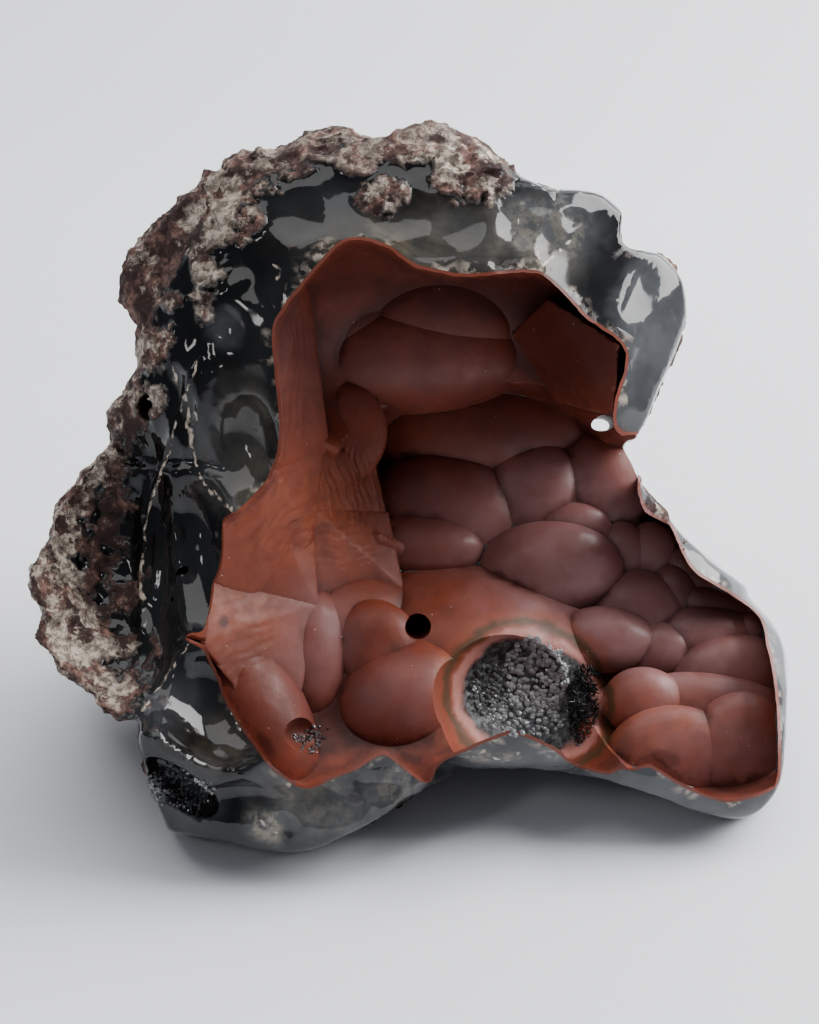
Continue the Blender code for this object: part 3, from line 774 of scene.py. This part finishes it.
def fractal(places, kind):
    points = (Vector(place) for place in places / (kind.size * MM))
    return np.array([noise.fractal(point, kind.roughness, LACUNARITY, kind.octaves) for point in points])


def ridges(places, scale):
    points = (Vector(place) for place in places / scale)
    return np.array([noise.ridged_multi_fractal(point, *GRAIN_NOISE) for point in points])


def crust_share(places, normals):
    """How much of the rough crust is at each place: the back, the top and the left edge."""
    across, down, away = pixels_of(places)
    behind = step(*CRUST_DEPTHS, away)
    ring = np.hypot(across - CRUST_CENTRE[0], down - CRUST_CENTRE[1])
    top = step(*CRUST_RING, ring) * (down < CRUST_TOP) * (across < CRUST_RIGHT)
    left = step(CRUST_LEFT[1], CRUST_LEFT[0], across) * (down > CRUST_CENTRE[1])
    foot = step(*FOOT_X, places[:, 0] / MM) * step(*FOOT_Z, places[:, 2] / MM)
    share = np.maximum(np.maximum(behind, top), left) * (1 - foot)
    facing = (normals @ np.array(AWAY) < CRUST_FACING) & inside(RIM, across, down)
    return np.where(facing, 0.0, share)


def mark_radius(mark, across, down):
    """How far out pixels lie in a mark: 0 at its middle, 1 at its edge."""
    turn = math.radians(getattr(mark, "roll", 0.0))
    right, up = across - mark.across, mark.down - down
    along = (right * math.cos(turn) + up * math.sin(turn)) / mark.wide
    beside = (up * math.cos(turn) - right * math.sin(turn)) / mark.tall
    return np.hypot(along, beside)


def cover(marks, across, down, ragged=0.0, edge=0.35):
    """How strongly a group of marks covers pixels, with soft edges that ragged shifts."""
    result = np.zeros(len(across))
    for mark in marks:
        radius = mark_radius(mark, across, down) + ragged
        result = np.maximum(result, mark.height * step(1 + edge, 1 - edge, radius))
    return result


def line_distance(line, across, down):
    """How far pixels are from a line, in pixels."""
    result = np.full(len(across), 1e9)
    for (x0, y0), (x1, y1) in zip(line, line[1:]):
        dx, dy = x1 - x0, y1 - y0
        along = np.clip(((across - x0) * dx + (down - y0) * dy) / (dx * dx + dy * dy), 0.0, 1.0)
        result = np.minimum(result, np.hypot(across - x0 - along * dx, down - y0 - along * dy))
    return result


def hollowness(obj, rounds):
    """How far each vertex lies below its neighbours, in mm, evened out over rounds."""
    mesh = obj.data
    ends = np.empty(len(mesh.edges) * 2, dtype=np.int64)
    mesh.edges.foreach_get("vertices", ends)
    ends = ends.reshape(-1, 2)
    count = len(mesh.vertices)
    one, other = np.concatenate((ends[:, 0], ends[:, 1])), np.concatenate((ends[:, 1], ends[:, 0]))
    links = np.maximum(np.bincount(one, minlength=count), 1)

    def mean(values):
        return np.bincount(one, weights=values[other], minlength=count) / links

    places = places_of(obj)
    around = np.stack([mean(places[:, axis]) for axis in range(3)], axis=1)
    result = ((around - places) * normals_of(obj)).sum(axis=1) / MM
    for _ in range(rounds):
        result = mean(result)
    return result


def make_body():
    """The whole stone without its hollow."""
    detail = sizes().body_detail
    body = join_masses("body", HOOD, detail)
    combine(body, join_lumps("front", [HOOD_FRONT], detail, -HOOD_REACH), "INTERSECT")
    combine(body, join_masses("base", BASE, detail), "UNION")
    combine(body, sight_prism("outline", wander(OUTLINE, *OUTLINE_WANDER)), "INTERSECT")
    combine(body, join_lumps("breaks", BREAKS.values(), detail, BREAK_REACH), "DIFFERENCE")
    combine(body, join_lumps("pits", PITS.values(), detail, PIT_REACH), "DIFFERENCE")
    remesh(body, detail)
    relax(body, 0.5, 2)
    roughen(body)
    combine(body, make_floor(), "DIFFERENCE")
    return body


def make_floor():
    """The block under the plane the stone rests on."""
    deselect_all()
    bpy.ops.mesh.primitive_cube_add(size=1.0, location=(0, 0, -FLOOR_DEPTH / 2))
    block = bpy.context.object
    block.scale = (FLOOR_SIZE, FLOOR_SIZE, FLOOR_DEPTH)
    bpy.ops.object.transform_apply(location=True, rotation=True, scale=True)
    return block


def roughen(body):
    """Raises the rough crust."""
    places = places_of(body)
    normals = normals_of(body)
    share = crust_share(places, normals)
    rough = share > 0
    height = np.zeros(len(places))
    broad = fractal(places[rough], CRUST_LUMPS)
    sharp = ridges(places[rough], CRUST_GRAIN)
    height[rough] = CRUST_RELIEF * (broad + GRAIN_SHARE * (sharp - GRAIN_MEAN) - CRUST_SINK)
    height[rough] += sizes().crust_relief * fractal(places[rough], CRUST_FINE)
    relief = share * height
    across, down, away = pixels_of(places)
    front = normals @ np.array(AWAY) < CRUST_FACING
    scoop = np.zeros(len(places))
    for chip in CHIPS:
        radius = mark_radius(chip, across, down)
        scoop = np.minimum(scoop, chip.height * MM * np.minimum(radius**2 - 1, 0.0))
    relief += np.where(front, scoop * (1 - share), 0.0)
    for line, height, wide in RIDGES:
        distance = line_distance(line, across, down)
        relief += np.where(front, height * MM * np.exp(-distance / wide) * (1 - share), 0.0)
    smooth = ~rough & front
    relief[smooth] += WALL_WAVE * fractal(places[smooth], WALL_WAVES)
    left = np.where(front, patch_share(places), 0.0)
    lumps = np.zeros(len(places))
    chosen = left > 0
    lumps[chosen] = PATCH_HEIGHT * (PATCH_BASE + fractal(places[chosen], PATCH_LUMPS))
    relief += left * lumps * (1 - share)
    set_places(body, places + normals * relief[:, None])


def patch_share(places):
    """How much of the pale crust is left at places of the front."""
    across, down, away = pixels_of(places)
    near = cover(PATCHES, across, down, 0.0, PATCH_SEARCH) > 0
    ragged = np.zeros(len(places))
    ragged[near] = PATCH_RAGGED * fractal(places[near], PATCH_EDGE)
    return np.where(near, cover(PATCHES, across, down, ragged, PATCH_SOFT), 0.0)


def flute(cavity):
    """Raises the flutes and the fine grain of the lining."""
    places = places_of(cavity)
    normals = normals_of(cavity)
    across, down, away = pixels_of(places)
    relief = np.zeros(len(places))
    for flutes in FLUTES:
        turn = math.radians(flutes.direction)
        window = step(*FLUTE_WINDOW, mark_radius(flutes, across, down))
        chosen = window > 0
        beside = (across * math.sin(turn) + down * math.cos(turn))[chosen] * PIXEL / MM
        drift = FLUTE_DRIFT_SHARE * fractal(places[chosen], FLUTE_DRIFT)
        wave = np.sin((beside / flutes.spacing + drift) * 2 * math.pi)
        share, rate = FLUTE_OVERTONE
        wave += share * np.sin((beside / flutes.spacing * rate + drift * 2) * 2 * math.pi)
        relief[chosen] -= flutes.height * MM * wave * window[chosen]
    facing = normals @ np.array(AWAY) > LINING_FACING
    relief[facing] += LINING_WAVE * fractal(places[facing], LINING_WAVES)
    druse = pocket_share(places)
    chosen = druse > 0
    relief[chosen] += druse[chosen] * DRUSE_RELIEF * ridges(places[chosen], DRUSE_GRAIN)
    set_places(cavity, places + normals * relief[:, None])


def pocket_radius(places):
    """How far out places lie in the druse pocket: 0 at its middle, 1 at its edge."""
    pocket = POCKETS["druse pocket"]
    axes = np.array(lump_axes(pocket))
    offset = (places - np.array(seen(pocket.across, pocket.down, pocket.away * MM))) @ axes / MM
    return np.hypot(offset[:, 0] / pocket.wide, offset[:, 1] / pocket.tall)


def pocket_share(places):
    """How much of the druse is at places of the pocket."""
    across, down, away = pixels_of(places)
    deep = away > POCKET_DEPTH
    return np.where(deep, step(*DRUSE_GRAIN_BAND, pocket_radius(places)), 0.0)


def make_cavity():
    """The space inside the lining, as seen through the rim."""
    detail = sizes().lining_detail
    cavity = join_lumps("cavity", HOLLOWS.values(), detail * 1.5, HOLLOW_REACH)
    domes = merge([add_dome(dome) for dome in DOMES.values()], "domes")
    facets = []
    for corners in FACETS.values():
        facet = add_facet(corners)
        remesh(facet, detail)
        relax(facet, 0.5, 1)
        facets.append(facet)
    combine(domes, merge(facets, "facets"), "UNION")
    combine(cavity, domes, "DIFFERENCE")
    combine(cavity, join_lumps("pockets", POCKETS.values(), detail, POCKET_REACH), "UNION")
    flute(cavity)
    combine(cavity, sight_prism("rim", wander(RIM, *RIM_WANDER)), "INTERSECT")
    return cavity


def copy_of(obj, name):
    twin = obj.copy()
    twin.data = obj.data.copy()
    twin.name = name
    twin.data.name = name
    bpy.context.scene.collection.objects.link(twin)
    return twin


def keep_largest(obj):
    """Drops the crumbs that the cuts leave loose."""
    activate(obj)
    bpy.ops.object.mode_set(mode="EDIT")
    bpy.ops.mesh.select_all(action="SELECT")
    bpy.ops.mesh.separate(type="LOOSE")
    finish_edit()
    parts = list(bpy.context.selected_objects)
    largest = max(parts, key=lambda part: len(part.data.vertices))
    for part in parts:
        if part is not largest:
            bpy.data.objects.remove(part)
    activate(largest)
    return largest


def thin_out(obj):
    """Lowers the triangle count of a dense mesh."""
    triangles = sum(len(face.vertices) - 2 for face in obj.data.polygons)
    if triangles > TRIANGLES:
        apply_modifier(obj, "DECIMATE", ratio=TRIANGLES / triangles)
    return obj


def make_material(name):
    material = bpy.data.materials.new(name)
    material.use_nodes = True
    return material


def add_piece(obj, name, material, angle):
    """Names, shades and registers a finished piece."""
    obj.name = name
    obj.data.name = name
    obj.data.materials.clear()
    obj.data.materials.append(material)
    activate(obj)
    bpy.ops.object.shade_smooth_by_angle(angle=math.radians(angle))
    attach(obj, "root")


def stored(tree, name):
    """The number that paint stored under a name."""
    node = tree.nodes.new("ShaderNodeAttribute")
    node.attribute_name = name
    return node.outputs["Fac"]


def grain(tree, size, detail, roughness):
    """Noise between 0 and 1 whose lumps have a size in metres."""
    places = tree.nodes.new("ShaderNodeTexCoord")
    node = tree.nodes.new("ShaderNodeTexNoise")
    node.inputs["Scale"].default_value = 1 / size
    node.inputs["Detail"].default_value = detail
    node.inputs["Roughness"].default_value = roughness
    tree.links.new(places.outputs["Object"], node.inputs["Vector"])
    return node.outputs["Fac"]


def specks(tree, size, radius):
    """Small round dots, 1 at their middle and 0 outside."""
    places = tree.nodes.new("ShaderNodeTexCoord")
    node = tree.nodes.new("ShaderNodeTexVoronoi")
    node.inputs["Scale"].default_value = 1 / size
    tree.links.new(places.outputs["Object"], node.inputs["Vector"])
    return stretch(tree, node.outputs["Distance"], radius, radius * 0.6)


def stretch(tree, value, low, high, start=0.0, end=1.0):
    """A value's range from low to high, spread from start to end."""
    node = tree.nodes.new("ShaderNodeMapRange")
    node.interpolation_type = "SMOOTHSTEP"
    node.inputs["From Min"].default_value = low
    node.inputs["From Max"].default_value = high
    node.inputs["To Min"].default_value = start
    node.inputs["To Max"].default_value = end
    tree.links.new(value, node.inputs["Value"])
    return node.outputs["Result"]


def speckle(tree, kind):
    """Noise with the size and the contrast of its kind."""
    value = grain(tree, kind.size * MM, kind.detail, kind.roughness)
    return stretch(tree, value, kind.low, kind.high, kind.start, kind.end)


def mottled(tree, name, kind):
    """A stored number, broken up by noise."""
    return compute(tree, "MULTIPLY", stored(tree, name), speckle(tree, kind))


def compute(tree, operation, first, second=0.0):
    node = tree.nodes.new("ShaderNodeMath")
    node.operation = operation
    for socket, value in zip(node.inputs, (first, second)):
        if isinstance(value, (int, float)):
            socket.default_value = value
        else:
            tree.links.new(value, socket)
    return node.outputs["Value"]


def blend(tree, share, first, second):
    """A colour between two colours."""
    node = tree.nodes.new("ShaderNodeMix")
    node.data_type = "RGBA"
    tree.links.new(share, node.inputs["Factor"])
    for socket, value in zip((node.inputs[6], node.inputs[7]), (first, second)):
        if isinstance(value, bpy.types.NodeSocket):
            tree.links.new(value, socket)
        else:
            socket.default_value = value
    return node.outputs[2]


def bump(tree, shader, height, distance):
    node = tree.nodes.new("ShaderNodeBump")
    node.inputs["Distance"].default_value = distance
    tree.links.new(height, node.inputs["Height"])
    tree.links.new(node.outputs["Normal"], shader.inputs["Normal"])


def wall_material():
    """Black to grey chalcedony, partly painted reflection on the hanging lobe, with the pale crust, white
    cracks and painted highlight lines.
    """
    material = make_material("chalcedony wall")
    tree = material.node_tree
    shader = tree.nodes["Principled BSDF"]
    tint = colours()
    brown = stored(tree, "brown")
    colour = blend(tree, mottled(tree, "grey", GREY_CLOUDS), tint.wall_black, tint.wall_grey)
    colour = blend(tree, mottled(tree, "brown", BROWN_CLOUDS), colour, tint.wall_brown)
    bands = compute(tree, "SINE", compute(tree, "MULTIPLY", stored(tree, "rim"), BAND_RATE))
    bands = compute(tree, "MULTIPLY", stretch(tree, bands, *BAND_RANGE), brown)
    colour = blend(tree, bands, colour, tint.wall_black)
    milky = mottled(tree, "milk", MILK_CRACKLE)
    colour = blend(tree, milky, colour, tint.wall_milk)
    # Pale lines: white cracks, painted highlights along the left face's ridges, and paler convex edges.
    convex_pale = compute(tree, "MULTIPLY", stored(tree, "convex_pale"), CONVEX_PALE_SHARE)
    crack_and_highlight = compute(tree, "MAXIMUM", stretch(tree, stored(tree, "crack_and_highlight"), *CRACK_AND_HIGHLIGHT_RANGE), convex_pale)
    crack_and_highlight = compute(tree, "MULTIPLY", crack_and_highlight, speckle(tree, CRACK_AND_HIGHLIGHT_GAPS))
    colour = blend(tree, crack_and_highlight, colour, tint.rind_pale)
    rind = blend(tree, speckle(tree, RIND_SPOTS), tint.rind_dark, tint.rind_pink)
    cream = compute(tree, "MAXIMUM", mottled(tree, "patch", RIND_ISLANDS), speckle(tree, RIND_FLECKS))
    rind = blend(tree, cream, rind, tint.rind_pale)
    rind = blend(tree, speckle(tree, RIND_DIRT), rind, tint.rind_dark)
    rind = blend(tree, stretch(tree, stored(tree, "hollow"), *HOLLOW_RANGE), rind, tint.rind_dark)
    rough = stored(tree, "crust")
    colour = blend(tree, rough, colour, rind)
    tree.links.new(colour, shader.inputs["Base Color"])
    matt = compute(tree, "MULTIPLY", milky, MILK_ROUGHNESS)
    matt = compute(tree, "ADD", matt, compute(tree, "MULTIPLY", brown, BROWN_ROUGHNESS))
    matt = compute(tree, "ADD", matt, compute(tree, "MULTIPLY", crack_and_highlight, CRACK_AND_HIGHLIGHT_ROUGHNESS))
    matt = compute(tree, "MAXIMUM", matt, stretch(tree, rough, *CRUST_ROUGHNESS))
    tree.links.new(matt, shader.inputs["Roughness"])
    shader.inputs["Specular IOR Level"].default_value = WALL_SPECULAR
    lumps, height = CRUST_BUMP
    bump(tree, shader, compute(tree, "MULTIPLY", grain(tree, *lumps), rough), height)
    return material


def lining_material():
    """Red-brown, satin lining with mauve domes partly painted as sheen, painted shade, orange panels and
    bands at the druse.
    """
    material = make_material("red lining")
    tree = material.node_tree
    shader = tree.nodes["Principled BSDF"]
    tint = colours()
    colour = blend(tree, speckle(tree, DARK_CLOUDS), tint.lining, tint.lining_dark_and_shade)
    colour = blend(tree, mottled(tree, "orange", ORANGE_CLOUDS), colour, tint.lining_orange)
    # Mauve, partly the lining's tint and partly painted sheen.
    mauve_and_sheen = mottled(tree, "mauve_and_sheen", MAUVE_CLOUDS)
    colour = blend(tree, mauve_and_sheen, colour, tint.lining_mauve_and_sheen)
    druse = blend(tree, speckle(tree, DRUSE_CLOUDS), tint.wall_black, tint.wall_grey)
    # The dark zone is painted shade under the hood, in deep gaps and in creases, with a few real dark
    # spots.
    zones = {
        "dark_and_shade": tint.lining_dark_and_shade, "sharp": tint.lining, "lip": tint.lining_orange,
        "olive": tint.lip_olive, "pink": tint.lip_pink, "druse": druse,
    }
    for name, zone in zones.items():
        colour = blend(tree, stored(tree, name), colour, zone)
    dust = compute(tree, "MULTIPLY", specks(tree, DUST_SIZE, DUST_RADIUS), speckle(tree, DUST_CLOUDS))
    colour = blend(tree, dust, colour, tint.rind_pale)
    tree.links.new(colour, shader.inputs["Base Color"])
    wear = compute(tree, "SUBTRACT", speckle(tree, LINING_WEAR), stretch(tree, mauve_and_sheen, *MAUVE_GLOSS))
    tree.links.new(wear, shader.inputs["Roughness"])
    shader.inputs["Specular IOR Level"].default_value = LINING_SPECULAR
    shader.inputs["Sheen Weight"].default_value = SHEEN
    shader.inputs["Sheen Roughness"].default_value = SHEEN_ROUGHNESS
    shader.inputs["Sheen Tint"].default_value = tint.lip_pink
    lumps, height = LINING_BUMP
    bump(tree, shader, grain(tree, *lumps), height)
    return material


def druse_material():
    """Clear grey to black crystals, some of them red."""
    material = make_material("druse")
    tree = material.node_tree
    shader = tree.nodes["Principled BSDF"]
    tint = colours()
    colour = blend(tree, stored(tree, "tone"), tint.wall_black, tint.crystal_pale)
    colour = blend(tree, stored(tree, "red"), colour, tint.lining)
    tree.links.new(colour, shader.inputs["Base Color"])
    shader.inputs["Roughness"].default_value = CRYSTAL_ROUGHNESS
    return material


def paint_wall(wall):
    """Stores where the wall is grey (on the hanging lobe partly painted reflection), brown, milky, cracked
    or lined with painted highlights, paler at convex edges, or crusted.
    """
    places, normals = places_of(wall), normals_of(wall)
    across, down, away = pixels_of(places)
    front = normals @ np.array(AWAY) < CRUST_FACING
    crust = crust_share(places, normals)
    patch = np.where(front, patch_share(places), 0.0)
    ragged = WALL_RAGGED * fractal(places, WALL_CLOUDS)
    keep = np.where(front, step(*CRUST_KEEP, crust + ragged * 0.5), crust)
    left = front & (across < LEFT_CRUST[0]) & (down > LEFT_CRUST[1])
    keep = np.where(left, step(*LEFT_KEEP, crust * 0.6 + ragged * 1.1), keep)
    rim = line_distance(RIM + RIM[:1], across, down) * PIXEL / MM
    # The hanging lobe's grey is partly painted reflection of the light at the right.
    grey = cover(GREYS_AND_REFLECTION, across, down, ragged * 0.35, 0.5)
    polished = step(*POLISHED_ACROSS, across) * step(*POLISHED_DOWN, down)
    grey = np.where(front, np.maximum(grey, polished), polished)
    grey = np.maximum(grey, RIM_GREY_SHARE * step(*RIM_GREY, rim) * front)
    brown = np.where(front, cover(BROWNS, across, down, ragged * 0.4, 0.6), 0.0)
    brown *= 1 - RIM_BROWN_SHARE + RIM_BROWN_SHARE * step(*RIM_BROWN, rim)
    milk = np.where(front, cover(MILKS, across, down, ragged * 0.4, 0.4), 0.0)
    crack_and_highlight = np.full(len(places), NO_CRACK_OR_HIGHLIGHT)
    # White cracks, and painted highlight lines along the left face's ridges.
    for line, width in CRACKS_AND_HIGHLIGHTS:
        drift = np.stack([across + 5 * ragged, down - 5 * ragged])
        crack_and_highlight = np.minimum(crack_and_highlight, line_distance(line, drift[0], drift[1]) * PIXEL / (width * MM))
    crack_and_highlight = np.where(front, crack_and_highlight, NO_CRACK_OR_HIGHLIGHT)
    # Paler where the wall's front is convex: its edges and ridges.
    convex_pale = np.where(front & (crust < 0.2), step(*CONVEX_PALE, -hollowness(wall, 1)), 0.0)
    paint(wall, "crust", np.maximum(keep, step(0.1, 0.5, patch)))
    paint(wall, "patch", patch)
    paint(wall, "grey", np.clip(grey, 0.0, 1.0))
    paint(wall, "brown", brown)
    paint(wall, "milk", np.clip(milk, 0.0, 1.0))
    paint(wall, "crack_and_highlight", crack_and_highlight)
    paint(wall, "convex_pale", convex_pale)
    paint(wall, "rim", rim + ragged)
    paint(wall, "hollow", hollowness(wall, 3))


def paint_lining(lining):
    """Stores where the lining is mauve (partly painted sheen), orange, dark (mostly painted shade), banded
    or covered with crystals.
    """
    places = places_of(lining)
    across, down, away = pixels_of(places)
    ragged = LINING_RAGGED * fractal(places, LINING_CLOUDS)
    # Painted shade in the lining's creases: fine ones from hollow, broad ones from deep.
    hollow = hollowness(lining, 2)
    deep = hollowness(lining, 14)
    crease_shade = CREASE_SHARE * (step(*FINE_CREASE, hollow) + step(*BROAD_CREASE, deep))
    # The dark zone: painted shade from the marks and the creases, with the real dark spots.
    dark_and_shade = cover(DARKS_AND_SHADE, across, down, ragged * 0.3, 0.5) + crease_shade
    rim = line_distance(RIM + RIM[:1], across, down) * PIXEL / MM
    edge = EDGE_SHARE * step(*EDGE_LINE, rim - 0.4 * ragged)
    radius = pocket_radius(places) + ragged * 0.10
    pocket = away > POCKET_DEPTH
    paint(lining, "dark_and_shade", np.clip(dark_and_shade, 0.0, 0.9))
    paint(lining, "mauve_and_sheen", np.clip(cover(MAUVES_AND_SHEEN, across, down, ragged * 0.4, 0.6), 0.0, 1.0))
    paint(lining, "orange", np.clip(cover(ORANGES, across, down, ragged * 0.5, 0.6), 0.0, 1.0))
    paint(lining, "sharp", edge)
    paint(lining, "lip", pocket * LIP_SHARE * step(*LIP_BAND, radius))
    for name, share, (outer, inner) in (
        ("olive", OLIVE_SHARE, OLIVE_BAND), ("pink", PINK_SHARE, PINK_BAND)
    ):
        paint(lining, name, pocket * share * step(*outer, radius) * step(*inner, radius))
    paint(lining, "druse", pocket * step(*DRUSE_BAND, radius))


class MakeStone(bpy.types.Operator):
    """Makes the wall and the lining of the stone"""

    bl_idname = "agate.make_stone"
    bl_label = "Make Wall and Lining"
    bl_options = {"REGISTER", "UNDO"}

    def execute(self, context):
        body = make_body()
        cavity = make_cavity()
        grown = copy_of(cavity, "grown cavity")
        remesh(grown, GROWN_VOXEL)
        apply_modifier(grown, "DISPLACE", strength=sizes().lining_thickness, mid_level=0.0)
        remesh(grown, GROWN_VOXEL)
        lining = copy_of(grown, "lining")
        combine(lining, copy_of(body, "body copy"), "INTERSECT")
        combine(body, grown, "DIFFERENCE")
        combine(lining, cavity, "DIFFERENCE")
        body = thin_out(keep_largest(body))
        lining = thin_out(keep_largest(lining))
        paint_wall(body)
        paint_lining(lining)
        add_piece(body, "wall", wall_material(), WALL_ANGLE)
        add_piece(lining, "lining", lining_material(), LINING_ANGLE)
        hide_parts("agate")
        return {"FINISHED"}


def make_crystal():
    """One six-sided crystal, a unit wide and a unit long, with its root at the origin."""
    deselect_all()
    bpy.ops.mesh.primitive_cylinder_add(
        vertices=CRYSTAL_SIDES, radius=0.5, depth=CRYSTAL_STEM, location=(0, 0, CRYSTAL_STEM / 2)
    )
    crystal = bpy.context.object
    bpy.ops.object.transform_apply(location=True, rotation=True, scale=True)
    start_edit(crystal, "FACE")
    for face in crystal.data.polygons:
        face.select = face.normal.z > 0.9
    bpy.ops.object.mode_set(mode="EDIT")
    bpy.ops.mesh.extrude_region_move(TRANSFORM_OT_translate={"value": (0, 0, CRYSTAL_TIP)})
    bpy.ops.transform.resize(value=CRYSTAL_ROOF, center_override=CRYSTAL_ROOF_PLACE)
    finish_edit()
    return crystal


def plant(crystal, druse, root, normal, dice):
    """A copy of the crystal that grows from a place, turned and scaled at random."""
    tilt = math.tan(math.radians(druse.tilt))
    lean = Vector([dice.uniform(-tilt, tilt) for _ in range(3)])
    axis = (normal + lean * CRYSTAL_SPREAD).normalized()
    scale = sizes().crystal_scale * dice.uniform(*CRYSTAL_SCALES) * MM
    size = Vector((druse.width, druse.width * dice.uniform(*CRYSTAL_FLATNESS), druse.length, 0)) * scale
    size.w = 1.0
    turn = axis.to_track_quat("Z", "Y").to_matrix().to_4x4()
    spin = Matrix.Rotation(dice.uniform(0, math.tau), 4, "Z")
    place = root - axis * size.z * CRYSTAL_ROOT
    twin = copy_of(crystal, "crystal")
    twin.data.transform(Matrix.Translation(place) @ turn @ spin @ Matrix.Diagonal(size))
    count = len(twin.data.vertices)
    paint(twin, "tone", [druse.tone * dice.uniform(*CRYSTAL_TONES)] * count)
    paint(twin, "red", [druse.red] * count)
    return twin


class MakeDruse(bpy.types.Operator):
    """Sets small crystals into the pocket, the slot and the small cavity"""

    bl_idname = "agate.make_druse"
    bl_label = "Make Druse"
    bl_options = {"REGISTER", "UNDO"}

    def execute(self, context):
        stone = [bpy.data.objects["wall"], bpy.data.objects["lining"]]
        places = np.concatenate([places_of(obj) for obj in stone])
        normals = np.concatenate([normals_of(obj) for obj in stone])
        across, down, away = pixels_of(places)
        open_side = (normals @ np.array(AWAY) < 0.1) & (away > DRUSE_DEPTH)
        sheets = (across > SHEETS_FROM) & (down > DRUSES["pale facets"].down)
        open_side &= ~(sheets & (pocket_radius(places) > DRUSE_EDGE))
        crystal = make_crystal()
        dice = random.Random(CRYSTAL_SEED)
        grown = []
        for druse in DRUSES.values():
            chosen = np.flatnonzero(open_side & (mark_radius(druse, across, down) < 1.0))
            for _ in range(druse.count if len(chosen) else 0):
                spot = chosen[dice.randrange(len(chosen))]
                grown.append(plant(crystal, druse, Vector(places[spot]), Vector(normals[spot]), dice))
        bpy.data.objects.remove(crystal)
        piece = join(grown, "druse")
        add_piece(piece, "druse", druse_material(), DRUSE_ANGLE)
        return {"FINISHED"}


class SetStage(bpy.types.Operator):
    """Adds the floor, the backdrop, the lights and the camera"""

    bl_idname = "agate.set_stage"
    bl_label = "Set the Stage"
    bl_options = {"REGISTER", "UNDO"}

    def execute(self, context):
        deselect_all()
        bpy.ops.mesh.primitive_plane_add(size=STAGE_SIZE, location=(0, 0, -STAGE_DROP))
        floor = bpy.context.object
        floor.name = "floor"
        start_edit(floor, "EDGE")
        for edge in floor.data.edges:
            ends = [floor.data.vertices[i].co.y for i in edge.vertices]
            edge.select = min(ends) > 0
        bpy.ops.object.mode_set(mode="EDIT")
        bpy.ops.mesh.extrude_region_move(TRANSFORM_OT_translate={"value": (0, 0, STAGE_HEIGHT)})
        finish_edit()
        for vert in floor.data.vertices:
            if vert.co.y > 0:
                vert.co.y = BACKDROP_AWAY
        bevel = floor.modifiers.new("Cove", "BEVEL")
        bevel.width = COVE_RADIUS
        bevel.segments = COVE_STEPS
        bevel.limit_method = "ANGLE"
        activate(floor)
        bpy.ops.object.modifier_apply(modifier="Cove")
        bpy.ops.object.shade_smooth()
        material = make_material("pale paper")
        shader = material.node_tree.nodes["Principled BSDF"]
        shader.inputs["Base Color"].default_value = PAPER_COLOUR
        shader.inputs["Roughness"].default_value = PAPER_ROUGHNESS
        floor.data.materials.append(material)
        set_lights()
        set_camera()
        return {"FINISHED"}


def set_lights():
    for name, (place, size, power, target) in LIGHTS.items():
        light = bpy.data.lights.new(name, "AREA")
        light.shape = "RECTANGLE"
        light.size, light.size_y = size
        light.energy = power
        obj = bpy.data.objects.new(name, light)
        obj.location = place
        direction = Vector(target) - obj.location
        obj.rotation_euler = direction.to_track_quat("-Z", "Y").to_euler()
        bpy.context.scene.collection.objects.link(obj)
    world = bpy.context.scene.world or bpy.data.worlds.new("room")
    bpy.context.scene.world = world
    world.use_nodes = True
    room = world.node_tree.nodes["Background"]
    room.inputs["Color"].default_value = ROOM_COLOUR
    room.inputs["Strength"].default_value = ROOM_STRENGTH


def set_camera():
    camera = bpy.data.cameras.new("camera")
    camera.sensor_fit = "HORIZONTAL"
    camera.sensor_width = SENSOR_WIDTH
    width = FRAME_SIZE[0] * PIXEL
    camera.lens = camera.sensor_width * VIEW_DISTANCE / width
    camera.clip_start = 0.01
    obj = bpy.data.objects.new("camera", camera)
    obj.location = EYE
    obj.rotation_euler = AWAY.to_track_quat("-Z", "Y").to_euler()
    bpy.context.scene.collection.objects.link(obj)
    bpy.context.scene.camera = obj


class AgatePanel(bpy.types.Panel):
    """Lists the sizes, the colours and the steps"""

    bl_idname = "VIEW3D_PT_agate"
    bl_label = "Broken Agate Nodule"
    bl_space_type = "VIEW_3D"
    bl_region_type = "UI"
    bl_category = "Agate"

    def draw(self, context):
        for group in (context.scene.agate_sizes, context.scene.agate_colours):
            box = self.layout.box()
            for name in group.__annotations__:
                box.prop(group, name)
        for step_class in STEPS:
            self.layout.operator(step_class.bl_idname)


STEPS = (MakeStone, MakeDruse, SetStage)
CLASSES = (AgateSizes, AgateColours) + STEPS + (AgatePanel,)


def register():
    for one in CLASSES:
        bpy.utils.register_class(one)
    bpy.types.Scene.agate_sizes = bpy.props.PointerProperty(type=AgateSizes)
    bpy.types.Scene.agate_colours = bpy.props.PointerProperty(type=AgateColours)


def unregister():
    del bpy.types.Scene.agate_colours
    del bpy.types.Scene.agate_sizes
    for one in reversed(CLASSES):
        bpy.utils.unregister_class(one)


def main():
    register()
    bpy.ops.agate.make_stone()
    bpy.ops.agate.make_druse()
    bpy.ops.agate.set_stage()


if __name__ == "__main__":
    main()
